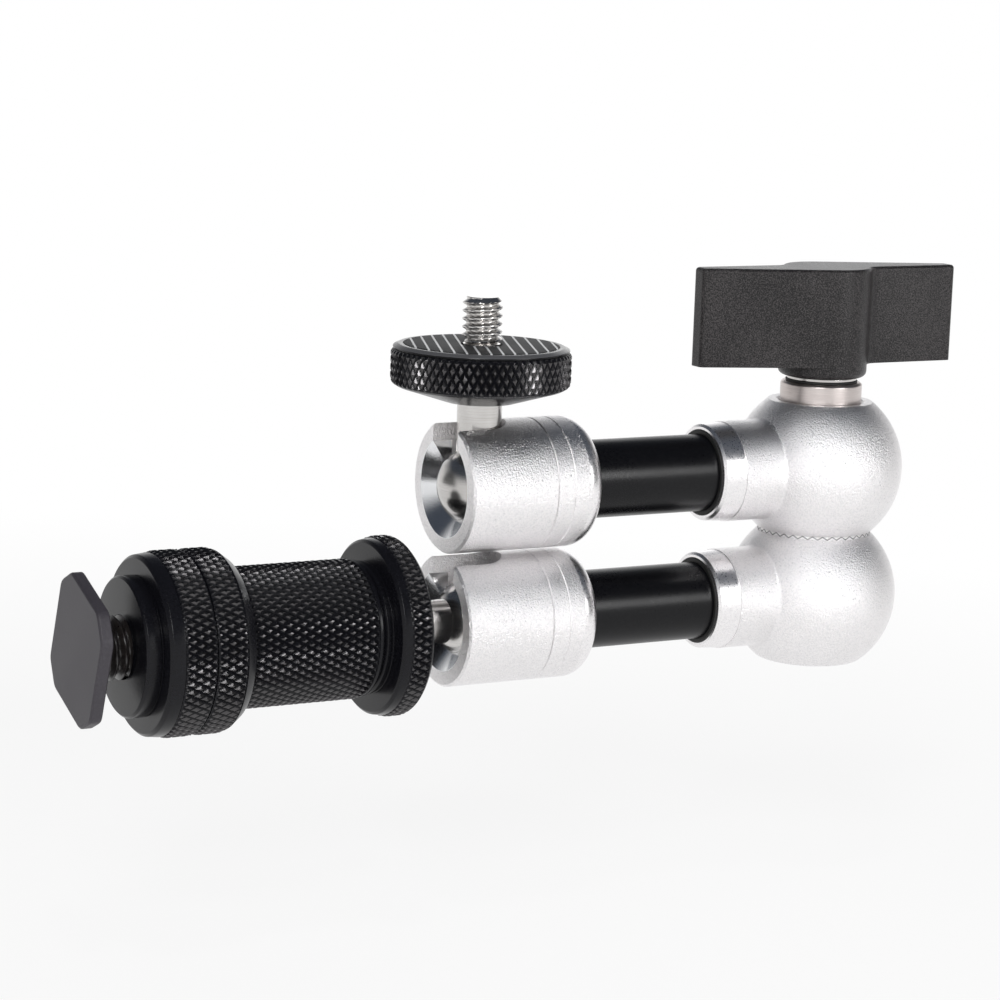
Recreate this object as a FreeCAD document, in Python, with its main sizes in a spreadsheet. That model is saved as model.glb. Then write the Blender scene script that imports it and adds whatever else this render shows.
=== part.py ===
import FreeCAD, Part
import math
import os

import Sketcher
from FreeCAD import Placement, Rotation, Vector

# Articulating friction arm, folded: a shoe adapter, two arms with ball heads,
# a toothed elbow and one winged knob that locks everything.
# The origin is the centre of the shoe foot's outer face. +X points to the elbow and +Z up.
# The lower arm lies on the X axis, and the upper arm lies above it.

# Driving dimensions in millimetres and degrees: name, value, meaning
DIMENSIONS = (
    # Shoe foot and its stem
    ("foot_width", 18.6, "foot across the shoe's rails"),
    ("foot_length", 20.6, "foot along the shoe's rails"),
    ("foot_thickness", 2.0, "thickness of the foot"),
    ("foot_clip", 3.4, "leg of each clipped corner"),
    ("foot_round", 0.8, "rounding of the foot's corners"),
    ("foot_turn", 20.0, "turn of the foot about the stem"),
    ("foot_edge", 0.25, "chamfer of the foot's outer edges"),
    ("stem_radius", 4.9, "outside of the stem's thread"),
    ("stem_length", 32.0, "stem behind the foot"),
    ("clamp_gap", 5.3, "room for the shoe's rails"),
    # Knurled rings and the grip sleeve
    ("ring_radius", 14.25, "every knurled ring and the lock disc"),
    ("ring_edge", 0.45, "chamfer of the knurled rims"),
    ("lock_ring_width", 7.4, "shoe lock ring's plain lip and knurled rim"),
    ("lock_boss_radius", 10.8, "shoe lock ring's boss"),
    ("lock_boss_length", 2.6, "shoe lock ring's boss"),
    ("boss_edge", 0.4, "chamfer of the bosses"),
    ("jam_rim_width", 4.8, "shoe jam ring's knurled rim"),
    ("jam_bevel_length", 1.8, "bevel behind the jam ring's rim"),
    ("jam_bevel_radius", 12.6, "small end of the jam ring's bevel"),
    ("sleeve_radius", 11.0, "grip sleeve"),
    ("sleeve_length", 22.2, "grip sleeve"),
    ("sleeve_edge", 0.5, "chamfer of the grip sleeve"),
    ("stud_boss_radius", 10.5, "stud lock ring's boss"),
    ("stud_boss_length", 1.4, "stud lock ring's boss"),
    ("stud_ring_width", 5.5, "stud lock ring's plain lip and knurled rim"),
    ("ring_play", 0.15, "gap beside each threaded ring"),
    # Ball studs, lock disc and pad
    ("ball_radius", 6.45, "ball"),
    ("neck_radius", 3.55, "neck between the ball and its shoulder"),
    ("shoulder", 13.4, "ball centre to the neck's shoulder"),
    ("core_radius", 2.95, "screw inside the lock disc or the lock ring"),
    ("screw_radius", 3.175, "quarter inch camera screw"),
    ("screw_tip", 0.6, "chamfer of the screw's end"),
    ("screw_free", 6.8, "screw at its full radius"),
    ("screw_reach", 30.1, "ball centre to the screw's end"),
    ("disc_height", 9.0, "lock disc"),
    ("disc_foot_radius", 5.6, "flat underside of the lock disc"),
    ("disc_cone_height", 2.6, "cone under the lock disc"),
    ("disc_cone_rim", 0.5, "step from the cone to the rim"),
    ("disc_bevel", 1.2, "bevel round the disc's top"),
    ("disc_bevel_height", 0.5, "height of that bevel"),
    ("pad_rim", 1.95, "from the rubber pad out to the disc's rim"),
    ("pad_thickness", 0.9, "rubber pad"),
    ("pad_recess", 0.8, "depth of the pad's recess"),
    # Ball heads
    ("cap_radius", 10.5, "whole head"),
    ("cap_front", 5.9, "ball centre forward to the head's face"),
    ("cap_rear", 9.1, "ball centre back to the cap's seam"),
    ("cap_edge", 0.35, "chamfer of the head's face"),
    ("seam_edge", 0.16, "chamfer beside each seam"),
    ("mouth_radius", 8.0, "countersink at the head's face"),
    ("lip_radius", 5.3, "lip that holds the ball in"),
    ("slot_half_width", 4.2, "slot for the neck"),
    ("spigot_radius", 8.2, "spigot that the cap turns on"),
    ("spigot_front", 4.0, "ball centre back to the spigot's front"),
    ("cap_ring_rear", 12.1, "ball centre back to the second seam"),
    ("head_round_start", 14.9, "ball centre back to the rounded shoulder"),
    ("head_rear", 17.6, "ball centre back to the head's end"),
    ("head_rear_radius", 9.0, "head's end face"),
    ("head_round", 3.2, "radius of the rounded shoulder"),
    ("seat_front", 3.85, "ball centre back to the seat's rim"),
    ("seat_rear", 8.6, "ball centre back to the seat's end"),
    ("tube_start", 10.6, "ball centre back to the tube's end"),
    ("tube_stop_web", 1.0, "web that stops the tube"),
    # Tubes and rods
    ("arm_reach", 64.6, "ball centre to elbow axis"),
    ("arm_spacing", 21.5, "between the two arms' axes"),
    ("tube_radius", 6.35, "tube outside"),
    ("tube_wall", 1.75, "tube wall"),
    ("tube_seat", 9.4, "elbow axis to the tube's inner end"),
    ("rod_dome", 9.0, "radius of the rod's domed end"),
    ("gasket_wall", 0.8, "wall of the black ring at the neck's mouth"),
    ("gasket_depth", 1.6, "black ring along the tube"),
    ("gasket_proud", 0.2, "how far the black ring stands out"),
    # Elbow hubs
    ("hub_radius", 14.2, "ball-shaped hub"),
    ("hub_flat", 11.2, "arm axis to the hub's outer flat"),
    ("hub_edge", 1.2, "rounding of the lower hub's flat"),
    ("hub_floor", 8.0, "arm axis down to the lower bore's floor"),
    ("hub_bore_radius", 6.9, "bore for the cones"),
    ("rim_bevel", 0.5, "bevel into the upper bore"),
    ("neck_wall", 1.95, "tube's outside to the outside of the hub's neck"),
    ("neck_band", 19.1, "elbow axis to the neck's band line"),
    ("neck_step", 0.12, "step at the band line"),
    ("neck_mouth", 23.1, "elbow axis to the neck's mouth"),
    ("neck_taper", 0.35, "how much slimmer the neck is at its mouth"),
    ("neck_nose_edge", 0.4, "chamfer of the mouth"),
    ("neck_fillet", 0.8, "fillet between the neck and the ball"),
    ("neck_fillet_sink", 0.01, "how far that fillet reaches into the ball"),
    ("tooth_count", 36, "radial teeth of each hub"),
    ("tooth_height", 0.6, "height of the teeth"),
    ("tooth_outer", 9.45, "outer radius of the teeth"),
    ("tooth_inner", 7.3, "inner radius of the teeth"),
    ("tooth_root", 0.87, "share of the pitch at a tooth's root"),
    ("tooth_crest", 0.11, "share of the pitch at a tooth's crest"),
    ("tooth_gap", 0.06, "gap between the two sets of teeth"),
    ("tooth_sink", 0.15, "how far a tooth reaches into its hub"),
    # Clamp in the elbow
    ("cone_middle", 5.8, "cone radius at the arm's axis"),
    ("cone_slope", 0.24, "cone radius gained per millimetre"),
    ("bolt_base", 6.4, "lower arm's axis down to the bolt's end"),
    ("bolt_cone_top", 5.0, "lower arm's axis up to the cone's end"),
    ("bolt_radius", 3.95, "bolt"),
    ("bolt_edge", 0.5, "chamfer of the bolt's ends"),
    ("bolt_top", 28.6, "upper arm's axis up to the bolt's end"),
    ("wedge_radius", 6.8, "wedge sleeve outside"),
    ("wedge_base", 4.5, "upper arm's axis down to the wedge's end"),
    ("wedge_top", 13.8, "upper arm's axis up to the wedge's top"),
    ("wedge_edge", 0.35, "chamfer of the wedge's top"),
    ("thrust_radius", 6.1, "black thrust washer"),
    ("thrust_height", 0.6, "black thrust washer"),
    ("washer_radius", 6.25, "bright washer"),
    ("washer_height", 1.0, "bright washer"),
    # Knob
    ("knob_hub_radius", 7.4, "middle of the knob"),
    ("knob_half_span", 24.2, "knob axis to each wing's tip"),
    ("wing_face", 3.0, "knob axis to a wing's hollow face"),
    ("wing_tip", 3.3, "thickness of a wing's tip"),
    ("wing_root_round", 3.0, "round between wing and middle"),
    ("knob_height", 16.2, "wings"),
    ("wing_tip_round", 0.9, "rounding of each wing's tip"),
    ("knob_edge", 0.6, "rounding of the knob's top edge"),
    ("boss_height", 2.1, "boss under the knob"),
    ("boss_foot_radius", 6.3, "boss at the washer"),
    ("insert_radius", 5.5, "threaded insert"),
    ("insert_height", 14.0, "threaded insert"),
    ("insert_room", 0.8, "room over the insert"),
    # Release spring
    ("spring_radius", 4.5, "middle of the spring's wire"),
    ("spring_wire", 0.8, "side of the spring's square wire"),
    ("spring_turns", 4.5, "turns of the spring"),
    # Fits
    ("fit", 0.05, "radial clearance of running fits"),
    ("press_gap", 0.05, "gap between pieces that press on each other"),
)


class Size:
    """A number together with the formula over the sheet's cells that gives it."""

    def __init__(self, number, formula):
        self.number = number
        self.formula = formula

    def __add__(self, other):
        other = as_size(other)
        return Size(self.number + other.number, f"({self.formula} + {other.formula})")

    def __sub__(self, other):
        other = as_size(other)
        return Size(self.number - other.number, f"({self.formula} - {other.formula})")

    def __mul__(self, other):
        other = as_size(other)
        return Size(self.number * other.number, f"({self.formula} * {other.formula})")

    def __truediv__(self, other):
        other = as_size(other)
        return Size(self.number / other.number, f"({self.formula} / {other.formula})")

    def __radd__(self, other):
        return as_size(other) + self

    def __rsub__(self, other):
        return as_size(other) - self

    def __rmul__(self, other):
        return as_size(other) * self

    def __rtruediv__(self, other):
        return as_size(other) / self

    def __neg__(self):
        return Size(-self.number, f"(0 - {self.formula})")


def as_size(amount):
    return amount if isinstance(amount, Size) else Size(amount, repr(amount))


def root(amount):
    return Size(math.sqrt(amount.number), f"sqrt({amount.formula})")


def sine(angle):
    return Size(math.sin(math.radians(angle.number)), f"sin({angle.formula})")


def cosine(angle):
    return Size(math.cos(math.radians(angle.number)), f"cos({angle.formula})")


def leg(long_side, short_side):
    """The other short side of a right-angled triangle."""
    return root(long_side * long_side - short_side * short_side)


class Sizes:
    """The spreadsheet of driving dimensions, read as attributes."""

    def __init__(self, doc):
        sheet = doc.addObject("Spreadsheet::Sheet", "Sizes")
        for row, (name, number, meaning) in enumerate(DIMENSIONS, start=1):
            sheet.set(f"A{row}", meaning)
            sheet.set(f"B{row}", str(number))
            sheet.setAlias(f"B{row}", name)
            setattr(self, name, Size(number, f"Sizes.{name}"))


def bind(item, path, amount):
    """Ties one property of an object to the sheet."""
    item.setExpression(path, as_size(amount).formula)


def new_body(doc, label):
    body = doc.addObject("PartDesign::Body", label)
    body.Label = label
    return body


def new_sketch(body, role):
    """A sketch on one of the body's own origin planes."""
    sketch = body.newObject("Sketcher::SketchObject", "Sketch")
    plane = [item for item in body.Origin.OriginFeatures if item.Role == role][0]
    sketch.AttachmentSupport = [(plane, "")]
    sketch.MapMode = "FlatFace"
    return sketch


def pin_point(sketch, curve, end, across, up):
    """Holds one end of a curve at its place from the sketch's origin."""
    for kind, axis, amount in (("DistanceX", -2, across), ("DistanceY", -1, up)):
        amount = as_size(amount)
        if amount.number == 0:
            sketch.addConstraint(Sketcher.Constraint("PointOnObject", curve, end, axis))
        else:
            index = sketch.addConstraint(Sketcher.Constraint(kind, -1, 1, curve, end, amount.number))
            bind(sketch, f"Constraints[{index}]", amount)


def arc_between(start, end, radius, centre_left):
    """An arc from start to end, with its centre to the left or right of the way there."""
    chord = end.sub(start)
    rise = math.sqrt(max(radius ** 2 - (chord.Length / 2) ** 2, 0.0))
    left = Vector(-chord.y, chord.x, 0).normalize()
    centre = start.add(chord.multiply(0.5)).add(left.multiply(rise if centre_left else -rise))
    first, last = (start, end) if centre_left else (end, start)
    angles = [math.atan2(point.y - centre.y, point.x - centre.x) for point in (first, last)]
    if angles[1] <= angles[0]:
        angles[1] += 2 * math.pi
    return Part.ArcOfCircle(Part.Circle(centre, Vector(0, 0, 1), radius), angles[0], angles[1])


def draw_outline(sketch, corners):
    """Draws a closed outline. A corner is (across, up), and an arc to the next corner adds
    its radius and the side of its centre: (across, up, radius, "left" or "right")."""
    places = [Vector(as_size(corner[0]).number, as_size(corner[1]).number, 0) for corner in corners]
    ends = []
    for index, corner in enumerate(corners):
        start, end = places[index], places[(index + 1) % len(corners)]
        if len(corner) == 2:
            sketch.addGeometry(Part.LineSegment(start, end), False)
            ends.append((1, 2))
        else:
            centre_left = corner[3] == "left"
            sketch.addGeometry(arc_between(start, end, corner[2].number, centre_left), False)
            ends.append((1, 2) if centre_left else (2, 1))
    for index in range(len(corners)):
        following = (index + 1) % len(corners)
        sketch.addConstraint(Sketcher.Constraint("Coincident", index, ends[index][1],
                                                 following, ends[following][0]))
    for index, corner in enumerate(corners):
        pin_point(sketch, index, ends[index][0], corner[0], corner[1])
        if len(corner) > 2:
            place = sketch.addConstraint(Sketcher.Constraint("Radius", index, corner[2].number))
            bind(sketch, f"Constraints[{place}]", corner[2])


def turn(body, corners, axis, cut=False):
    """Turns an outline on the XZ plane about X ("H_Axis") or Z ("V_Axis"), as metal or as a cut."""
    sketch = new_sketch(body, "XZ_Plane")
    draw_outline(sketch, corners)
    feature = body.newObject("PartDesign::Groove" if cut else "PartDesign::Revolution", "Turning")
    feature.Profile = sketch
    feature.ReferenceAxis = (sketch, [axis])
    feature.Angle = 360
    return feature


def turned_body(doc, label, corners, axis):
    body = new_body(doc, label)
    turn(body, corners, axis)
    return body


def dress(body, kind, size_name, amount, edges):
    """Adds a fillet or a chamfer on the edges that a test picks from the body's last shape."""
    base = body.Tip
    base.Document.recompute()
    names = [f"Edge{index + 1}" for index, edge in enumerate(base.Shape.Edges) if edges(edge)]
    feature = body.newObject(f"PartDesign::{kind}", kind)
    feature.Base = (base, names)
    bind(feature, size_name, amount)
    return feature


def place(body, x=0, z=0, axis=Vector(0, 0, 1), angle=0):
    """Sets where a body stands in the whole arm."""
    body.Placement = Placement(Vector(0, 0, 0), Rotation(axis, angle))
    bind(body, "Placement.Base.x", x)
    bind(body, "Placement.Base.z", z)
    return body


def sharp_circle(radius, **at):
    """A test for a full circular edge of one radius, at one place along an axis."""
    def test(edge):
        if not isinstance(edge.Curve, Part.Circle) or abs(edge.Curve.Radius - radius) > 1e-4:
            return False
        return all(abs(getattr(edge.Curve.Center, axis) - value) < 1e-4 for axis, value in at.items())
    return test


# Places along the lower arm's axis, from the foot's outer face

def lock_ring_start(d):
    return d.foot_thickness + d.clamp_gap


def jam_ring_start(d):
    return lock_ring_start(d) + d.lock_boss_length + d.lock_ring_width + d.ring_play


def sleeve_start(d):
    return jam_ring_start(d) + d.jam_rim_width + d.jam_bevel_length + d.ring_play


def sleeve_end(d):
    return sleeve_start(d) + d.sleeve_length


def ball_place(d):
    return sleeve_end(d) + d.stud_boss_length + d.stud_ring_width + 2 * d.ring_play + d.shoulder


def elbow_place(d):
    return ball_place(d) + d.arm_reach


# Radii that follow the tube

def gasket_radius(d):
    return d.tube_radius + d.gasket_wall


def neck_radius(d):
    """Outside of the hub's neck."""
    return d.tube_radius + d.neck_wall


# Shoe adapter

def make_shoe_foot(doc, d):
    """Square foot with clipped corners, and the stem behind it."""
    body = new_body(doc, "shoe_foot")
    across, along, clip = d.foot_width / 2, d.foot_length / 2, d.foot_clip
    foot = new_sketch(body, "YZ_Plane")
    draw_outline(foot, [(across, clip - along), (across, along - clip),
                        (across - clip, along), (clip - across, along),
                        (-across, along - clip), (-across, clip - along),
                        (clip - across, -along), (across - clip, -along)])
    pad = body.newObject("PartDesign::Pad", "Foot")
    pad.Profile = foot
    bind(pad, "Length", d.foot_thickness)
    dress(body, "Fillet", "Radius", d.foot_round,
          lambda edge: isinstance(edge.Curve, Part.Line) and abs(edge.tangentAt(0).x) > 0.9)
    dress(body, "Chamfer", "Size", d.foot_edge, lambda edge: edge.BoundBox.XMax < 1e-6)
    end = d.foot_thickness + d.stem_length
    turn(body, [(d.foot_thickness / 2, 0), (d.foot_thickness / 2, d.stem_radius),
                (end - d.ring_edge, d.stem_radius), (end, d.stem_radius - d.ring_edge), (end, 0)],
         "H_Axis")
    body.Placement = Placement(Vector(0, 0, 0), Rotation(Vector(1, 0, 0), 20))
    bind(body, "Placement.Rotation.Angle", d.foot_turn)
    return body


def make_shoe_lock_ring(doc, d):
    """Knurled ring with a boss that faces the foot."""
    bore = d.stem_radius + d.fit
    step = d.lock_boss_length
    end = step + d.lock_ring_width
    corners = [(0, bore), (0, d.lock_boss_radius - d.boss_edge), (d.boss_edge, d.lock_boss_radius),
               (step, d.lock_boss_radius), (step, d.ring_radius - d.ring_edge),
               (step + d.ring_edge, d.ring_radius), (end - d.ring_edge, d.ring_radius),
               (end, d.ring_radius - d.ring_edge), (end, bore)]
    return place(turned_body(doc, "shoe_lock_ring", corners, "H_Axis"), x=lock_ring_start(d))


def make_shoe_jam_ring(doc, d):
    """Knurled ring with a long plain bevel towards the sleeve."""
    bore = d.stem_radius + d.fit
    end = d.jam_rim_width + d.jam_bevel_length
    corners = [(0, bore), (0, d.ring_radius - d.ring_edge), (d.ring_edge, d.ring_radius),
               (d.jam_rim_width, d.ring_radius), (end, d.jam_bevel_radius), (end, bore)]
    return place(turned_body(doc, "shoe_jam_ring", corners, "H_Axis"), x=jam_ring_start(d))


def make_grip_sleeve(doc, d):
    """Barrel with the stem's thread at one end and the camera thread at the other."""
    length, edge = d.sleeve_length, d.sleeve_edge
    stem_bore, screw_bore = d.stem_radius + d.fit, d.screw_radius + d.fit
    stem_stop = d.foot_thickness + d.stem_length + d.ring_play - sleeve_start(d)
    screw_stop = ball_place(d) - d.screw_reach - 3 * d.ring_play - sleeve_start(d)
    corners = [(0, stem_bore), (0, d.sleeve_radius - edge), (edge, d.sleeve_radius),
               (length - edge, d.sleeve_radius), (length, d.sleeve_radius - edge),
               (length, screw_bore), (screw_stop, screw_bore), (screw_stop, 0),
               (stem_stop, 0), (stem_stop, stem_bore)]
    return place(turned_body(doc, "grip_sleeve", corners, "H_Axis"), x=sleeve_start(d))


def make_stud_lock_ring(doc, d):
    """Knurled ring on the lower stud, its boss against the sleeve."""
    bore = d.core_radius + d.fit
    step = d.stud_boss_length
    end = step + d.stud_ring_width
    corners = [(0, bore), (0, d.stud_boss_radius - d.boss_edge), (d.boss_edge, d.stud_boss_radius),
               (step, d.stud_boss_radius), (step, d.ring_radius - d.ring_edge),
               (step + d.ring_edge, d.ring_radius), (end - d.ring_edge, d.ring_radius),
               (end, d.ring_radius - d.ring_edge), (end, bore)]
    ring = turned_body(doc, "stud_lock_ring", corners, "H_Axis")
    return place(ring, x=sleeve_end(d) + d.ring_play)


# Ball heads: each piece is made about its ball's centre, with the arm along +X

def make_ball_stud(doc, d, label):
    """Ball, neck and camera screw in one, the screw along +Z."""
    neck_start = leg(d.ball_radius, d.neck_radius)
    tip = d.screw_reach - d.screw_tip
    corners = [(0, -d.ball_radius, d.ball_radius, "left"), (d.neck_radius, neck_start),
               (d.neck_radius, d.shoulder), (d.core_radius, d.shoulder),
               (d.core_radius, tip - d.screw_free), (d.screw_radius, tip - d.screw_free),
               (d.screw_radius, tip), (d.screw_radius - d.screw_tip, d.screw_reach),
               (0, d.screw_reach)]
    return turned_body(doc, label, corners, "V_Axis")


def make_socket_cap(doc, d, label):
    """Cap with a countersunk mouth, the ball's socket and the slot for the neck."""
    cavity = d.ball_radius + d.press_gap
    sleeve = d.spigot_radius + d.fit
    corners = [(-d.cap_front, d.mouth_radius), (-d.cap_front, d.cap_radius - d.cap_edge),
               (d.cap_edge - d.cap_front, d.cap_radius), (d.cap_rear - d.seam_edge, d.cap_radius),
               (d.cap_rear, d.cap_radius - d.seam_edge), (d.cap_rear, sleeve),
               (d.spigot_front - 2 * d.press_gap, sleeve), (d.spigot_front - 2 * d.press_gap, cavity),
               (0, cavity, cavity, "left"), (-leg(cavity, d.lip_radius), d.lip_radius)]
    body = turned_body(doc, label, corners, "H_Axis")
    slot = new_sketch(body, "XY_Plane")
    half = d.slot_half_width
    front = -d.cap_front - half
    draw_outline(slot, [(0, -half, half, "left"), (half, 0, half, "left"), (0, half),
                        (front, half), (front, -half)])
    pocket = body.newObject("PartDesign::Pocket", "Slot")
    pocket.Profile = slot
    pocket.Reversed = True
    bind(pocket, "Length", 2 * d.cap_radius)
    return body


def make_cap_ring(doc, d, label):
    """Ring between the head's two seams, on the spigot."""
    start, end = d.cap_rear + d.press_gap, d.cap_ring_rear
    bore = d.spigot_radius + d.fit
    corners = [(start, bore), (start, d.cap_radius - d.seam_edge), (start + d.seam_edge, d.cap_radius),
               (end - d.seam_edge, d.cap_radius), (end, d.cap_radius - d.seam_edge), (end, bore)]
    return turned_body(doc, label, corners, "H_Axis")


def make_head_collar(doc, d, label):
    """Rear of the head: spigot, rounded shoulder and the tube's socket."""
    socket = d.tube_radius + d.fit
    seat_bore = d.ball_radius + d.fit
    rod_bore = d.tube_radius - d.tube_wall
    web = d.tube_start - d.tube_stop_web
    corners = [(d.spigot_front, seat_bore), (d.spigot_front, d.spigot_radius),
               (d.cap_ring_rear, d.spigot_radius), (d.cap_ring_rear, d.cap_radius - d.seam_edge),
               (d.cap_ring_rear + d.seam_edge, d.cap_radius),
               (d.head_round_start, d.cap_radius, d.head_round, "right"),
               (d.head_rear, d.head_rear_radius), (d.head_rear, socket), (d.tube_start, socket),
               (d.tube_start, rod_bore), (web, rod_bore), (web, seat_bore)]
    return turned_body(doc, label, corners, "H_Axis")


def make_ball_seat(doc, d, label):
    """Cup that the rod presses on the ball."""
    cup = d.ball_radius + d.press_gap
    corners = [(d.seat_front, leg(cup, d.seat_front)), (d.seat_front, d.ball_radius),
               (d.seat_rear, d.ball_radius), (d.seat_rear, 0), (cup, 0, cup, "left")]
    return turned_body(doc, label, corners, "H_Axis")


def make_tube(doc, d, label):
    start, end = d.tube_start, d.arm_reach - d.tube_seat - d.press_gap
    bore = d.tube_radius - d.tube_wall
    corners = [(start, bore), (start, d.tube_radius), (end, d.tube_radius), (end, bore)]
    return turned_body(doc, label, corners, "H_Axis")


def make_push_rod(doc, d, label):
    """Rod from the ball's seat to the cone, with a domed end that the cone pushes."""
    radius = d.tube_radius - d.tube_wall - 2 * d.fit
    lean = root(1 + d.cone_slope * d.cone_slope)
    tip = d.arm_reach - d.cone_middle - d.press_gap - d.rod_dome * (lean - 1)
    shoulder = tip - d.rod_dome + leg(d.rod_dome, radius)
    corners = [(d.seat_rear, 0), (d.seat_rear, radius),
               (shoulder, radius, d.rod_dome, "right"), (tip, 0)]
    return turned_body(doc, label, corners, "H_Axis")


def make_tube_gasket(doc, d, label):
    """Black ring that closes the gap between the tube and the neck's mouth."""
    start = d.arm_reach - d.neck_mouth - d.gasket_proud
    end = start + d.gasket_depth
    bore = d.tube_radius + d.fit
    corners = [(start, bore), (start, gasket_radius(d) - d.gasket_proud),
               (start + d.gasket_proud, gasket_radius(d)), (end, gasket_radius(d)), (end, bore)]
    return turned_body(doc, label, corners, "H_Axis")


def make_arm(doc, d, name, height):
    """All pieces of one arm between its ball and its hub, at their height."""
    makers = (make_socket_cap, make_cap_ring, make_head_collar, make_ball_seat,
              make_tube, make_push_rod, make_tube_gasket)
    labels = ("socket_cap", "cap_ring", "head_collar", "ball_seat", "tube", "push_rod", "tube_gasket")
    return [place(maker(doc, d, f"{name}_{label}"), x=ball_place(d), z=height)
            for maker, label in zip(makers, labels)]


# Elbow hubs: made about the elbow axis, with the teeth on top and the neck along -X

def tooth_section(body, d, radius, phase):
    """Outline of one tooth across its length, at one radius and angle about the elbow axis."""
    pitch = 2 * math.pi * radius / d.tooth_count
    base = hub_base(d)
    low, high = base - d.tooth_sink, base + d.tooth_height
    root_half, crest_half = pitch * d.tooth_root / 2, pitch * d.tooth_crest / 2
    sketch = new_sketch(body, "YZ_Plane")
    sketch.AttachmentOffset = Placement(Vector(0, 0, 0), Rotation(Vector(0, 1, 0), 5))
    bind(sketch, "AttachmentOffset.Rotation.Angle", phase)
    bind(sketch, "AttachmentOffset.Base.x", radius * sine(phase))
    bind(sketch, "AttachmentOffset.Base.z", radius * cosine(phase))
    draw_outline(sketch, [(root_half, low), (root_half, base), (crest_half, high),
                          (-crest_half, high), (-root_half, base), (-root_half, low)])
    return sketch


def hub_base(d):
    """Height of the toothed face's roots over the arm's axis."""
    return d.arm_spacing / 2 - (d.tooth_height + d.tooth_gap) / 2


def add_teeth(body, d, phase):
    """One tapered tooth, repeated round the elbow axis."""
    inner = tooth_section(body, d, d.tooth_inner, phase)
    outer = tooth_section(body, d, d.tooth_outer, phase)
    tooth = body.newObject("PartDesign::AdditiveLoft", "Tooth")
    tooth.Profile = inner
    tooth.Sections = [outer]
    tooth.Ruled = True
    ring = body.newObject("PartDesign::PolarPattern", "Teeth")
    ring.Originals = [tooth]
    axis = [item for item in body.Origin.OriginFeatures if item.Role == "Z_Axis"][0]
    ring.Axis = (axis, [""])
    ring.Angle = 360
    bind(ring, "Occurrences", d.tooth_count)
    body.Tip = ring


def make_hub_ball(doc, d, label):
    """Ball-shaped hub with its neck, without bores or teeth."""
    base = hub_base(d)
    body = turned_body(doc, label, [
        (0, -d.hub_flat), (leg(d.hub_radius, d.hub_flat), -d.hub_flat, d.hub_radius, "left"),
        (leg(d.hub_radius, base), base), (0, base)], "V_Axis")
    band, mouth, bend = -d.neck_band, -d.neck_mouth, d.neck_fillet
    nose = neck_radius(d) - d.neck_taper
    start = leg(d.hub_radius + bend, neck_radius(d) + bend)
    share = (d.hub_radius - d.neck_fillet_sink) / (d.hub_radius + bend)
    rise = (neck_radius(d) + bend) * share
    turn(body, [(0, 0), (0, rise), (-start * share, rise, bend, "right"),
                (-start, neck_radius(d)), (band, neck_radius(d)),
                (band, neck_radius(d) - d.neck_step),
                (mouth + d.neck_nose_edge, nose),
                (mouth, nose - d.neck_nose_edge), (mouth, 0)], "H_Axis")
    return body


def bore_neck(body, d):
    """Stepped bore for the rod, the tube and the black ring."""
    rod, tube = d.tube_radius - d.tube_wall, d.tube_radius + d.fit
    tube_stop, ring_stop = -d.tube_seat, d.gasket_depth - d.gasket_proud - d.neck_mouth
    mouth = -d.neck_mouth - d.gasket_depth
    turn(body, [(0, 0), (0, rod), (tube_stop, rod), (tube_stop, tube), (ring_stop, tube),
                (ring_stop, gasket_radius(d)), (mouth, gasket_radius(d)), (mouth, 0)],
         "H_Axis", cut=True)


def make_lower_hub(doc, d):
    """Lower half of the elbow, closed below."""
    body = make_hub_ball(doc, d, "lower_hub")
    flat_radius = math.sqrt(d.hub_radius.number ** 2 - d.hub_flat.number ** 2)
    dress(body, "Fillet", "Radius", d.hub_edge, sharp_circle(flat_radius, z=-d.hub_flat.number))
    bore_neck(body, d)
    top = d.arm_spacing
    turn(body, [(0, -d.hub_floor), (d.hub_bore_radius, -d.hub_floor), (d.hub_bore_radius, top),
                (0, top)], "V_Axis", cut=True)
    add_teeth(body, d, 0 * d.tooth_count)
    return place(body, x=elbow_place(d))


def make_upper_hub(doc, d):
    """Upper half of the elbow: the same ball and neck upside down, open at the top."""
    body = make_hub_ball(doc, d, "upper_hub")
    bore_neck(body, d)
    bevel, top = d.rim_bevel, d.arm_spacing
    turn(body, [(0, -top), (d.hub_bore_radius + bevel + top - d.hub_flat, -top),
                (d.hub_bore_radius + bevel, -d.hub_flat), (d.hub_bore_radius, bevel - d.hub_flat),
                (d.hub_bore_radius, top), (0, top)], "V_Axis", cut=True)
    add_teeth(body, d, 180 / d.tooth_count)
    return place(body, x=elbow_place(d), z=d.arm_spacing, axis=Vector(1, 0, 0), angle=180)


# Clamp in the elbow: each piece is made about the elbow axis

def cone_radius(d, height):
    """Radius of the clamp's cones at a height from the arm's axis, wider away from the teeth."""
    return d.cone_middle + d.cone_slope * height


def cone_height(d, radius):
    return (radius - d.cone_middle) / d.cone_slope


def make_draw_bolt(doc, d):
    """Bolt whose cone pushes the lower rod when the knob pulls it up."""
    wide, edge = d.wedge_radius, d.bolt_edge
    top = d.arm_spacing + d.bolt_top
    corners = [(0, -d.bolt_base), (wide - edge, -d.bolt_base), (wide, edge - d.bolt_base),
               (wide, -cone_height(d, wide)), (cone_radius(d, -d.bolt_cone_top), d.bolt_cone_top),
               (d.bolt_radius, d.bolt_cone_top), (d.bolt_radius, top - edge),
               (d.bolt_radius - edge, top), (0, top)]
    return place(turned_body(doc, "draw_bolt", corners, "V_Axis"), x=elbow_place(d))


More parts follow.
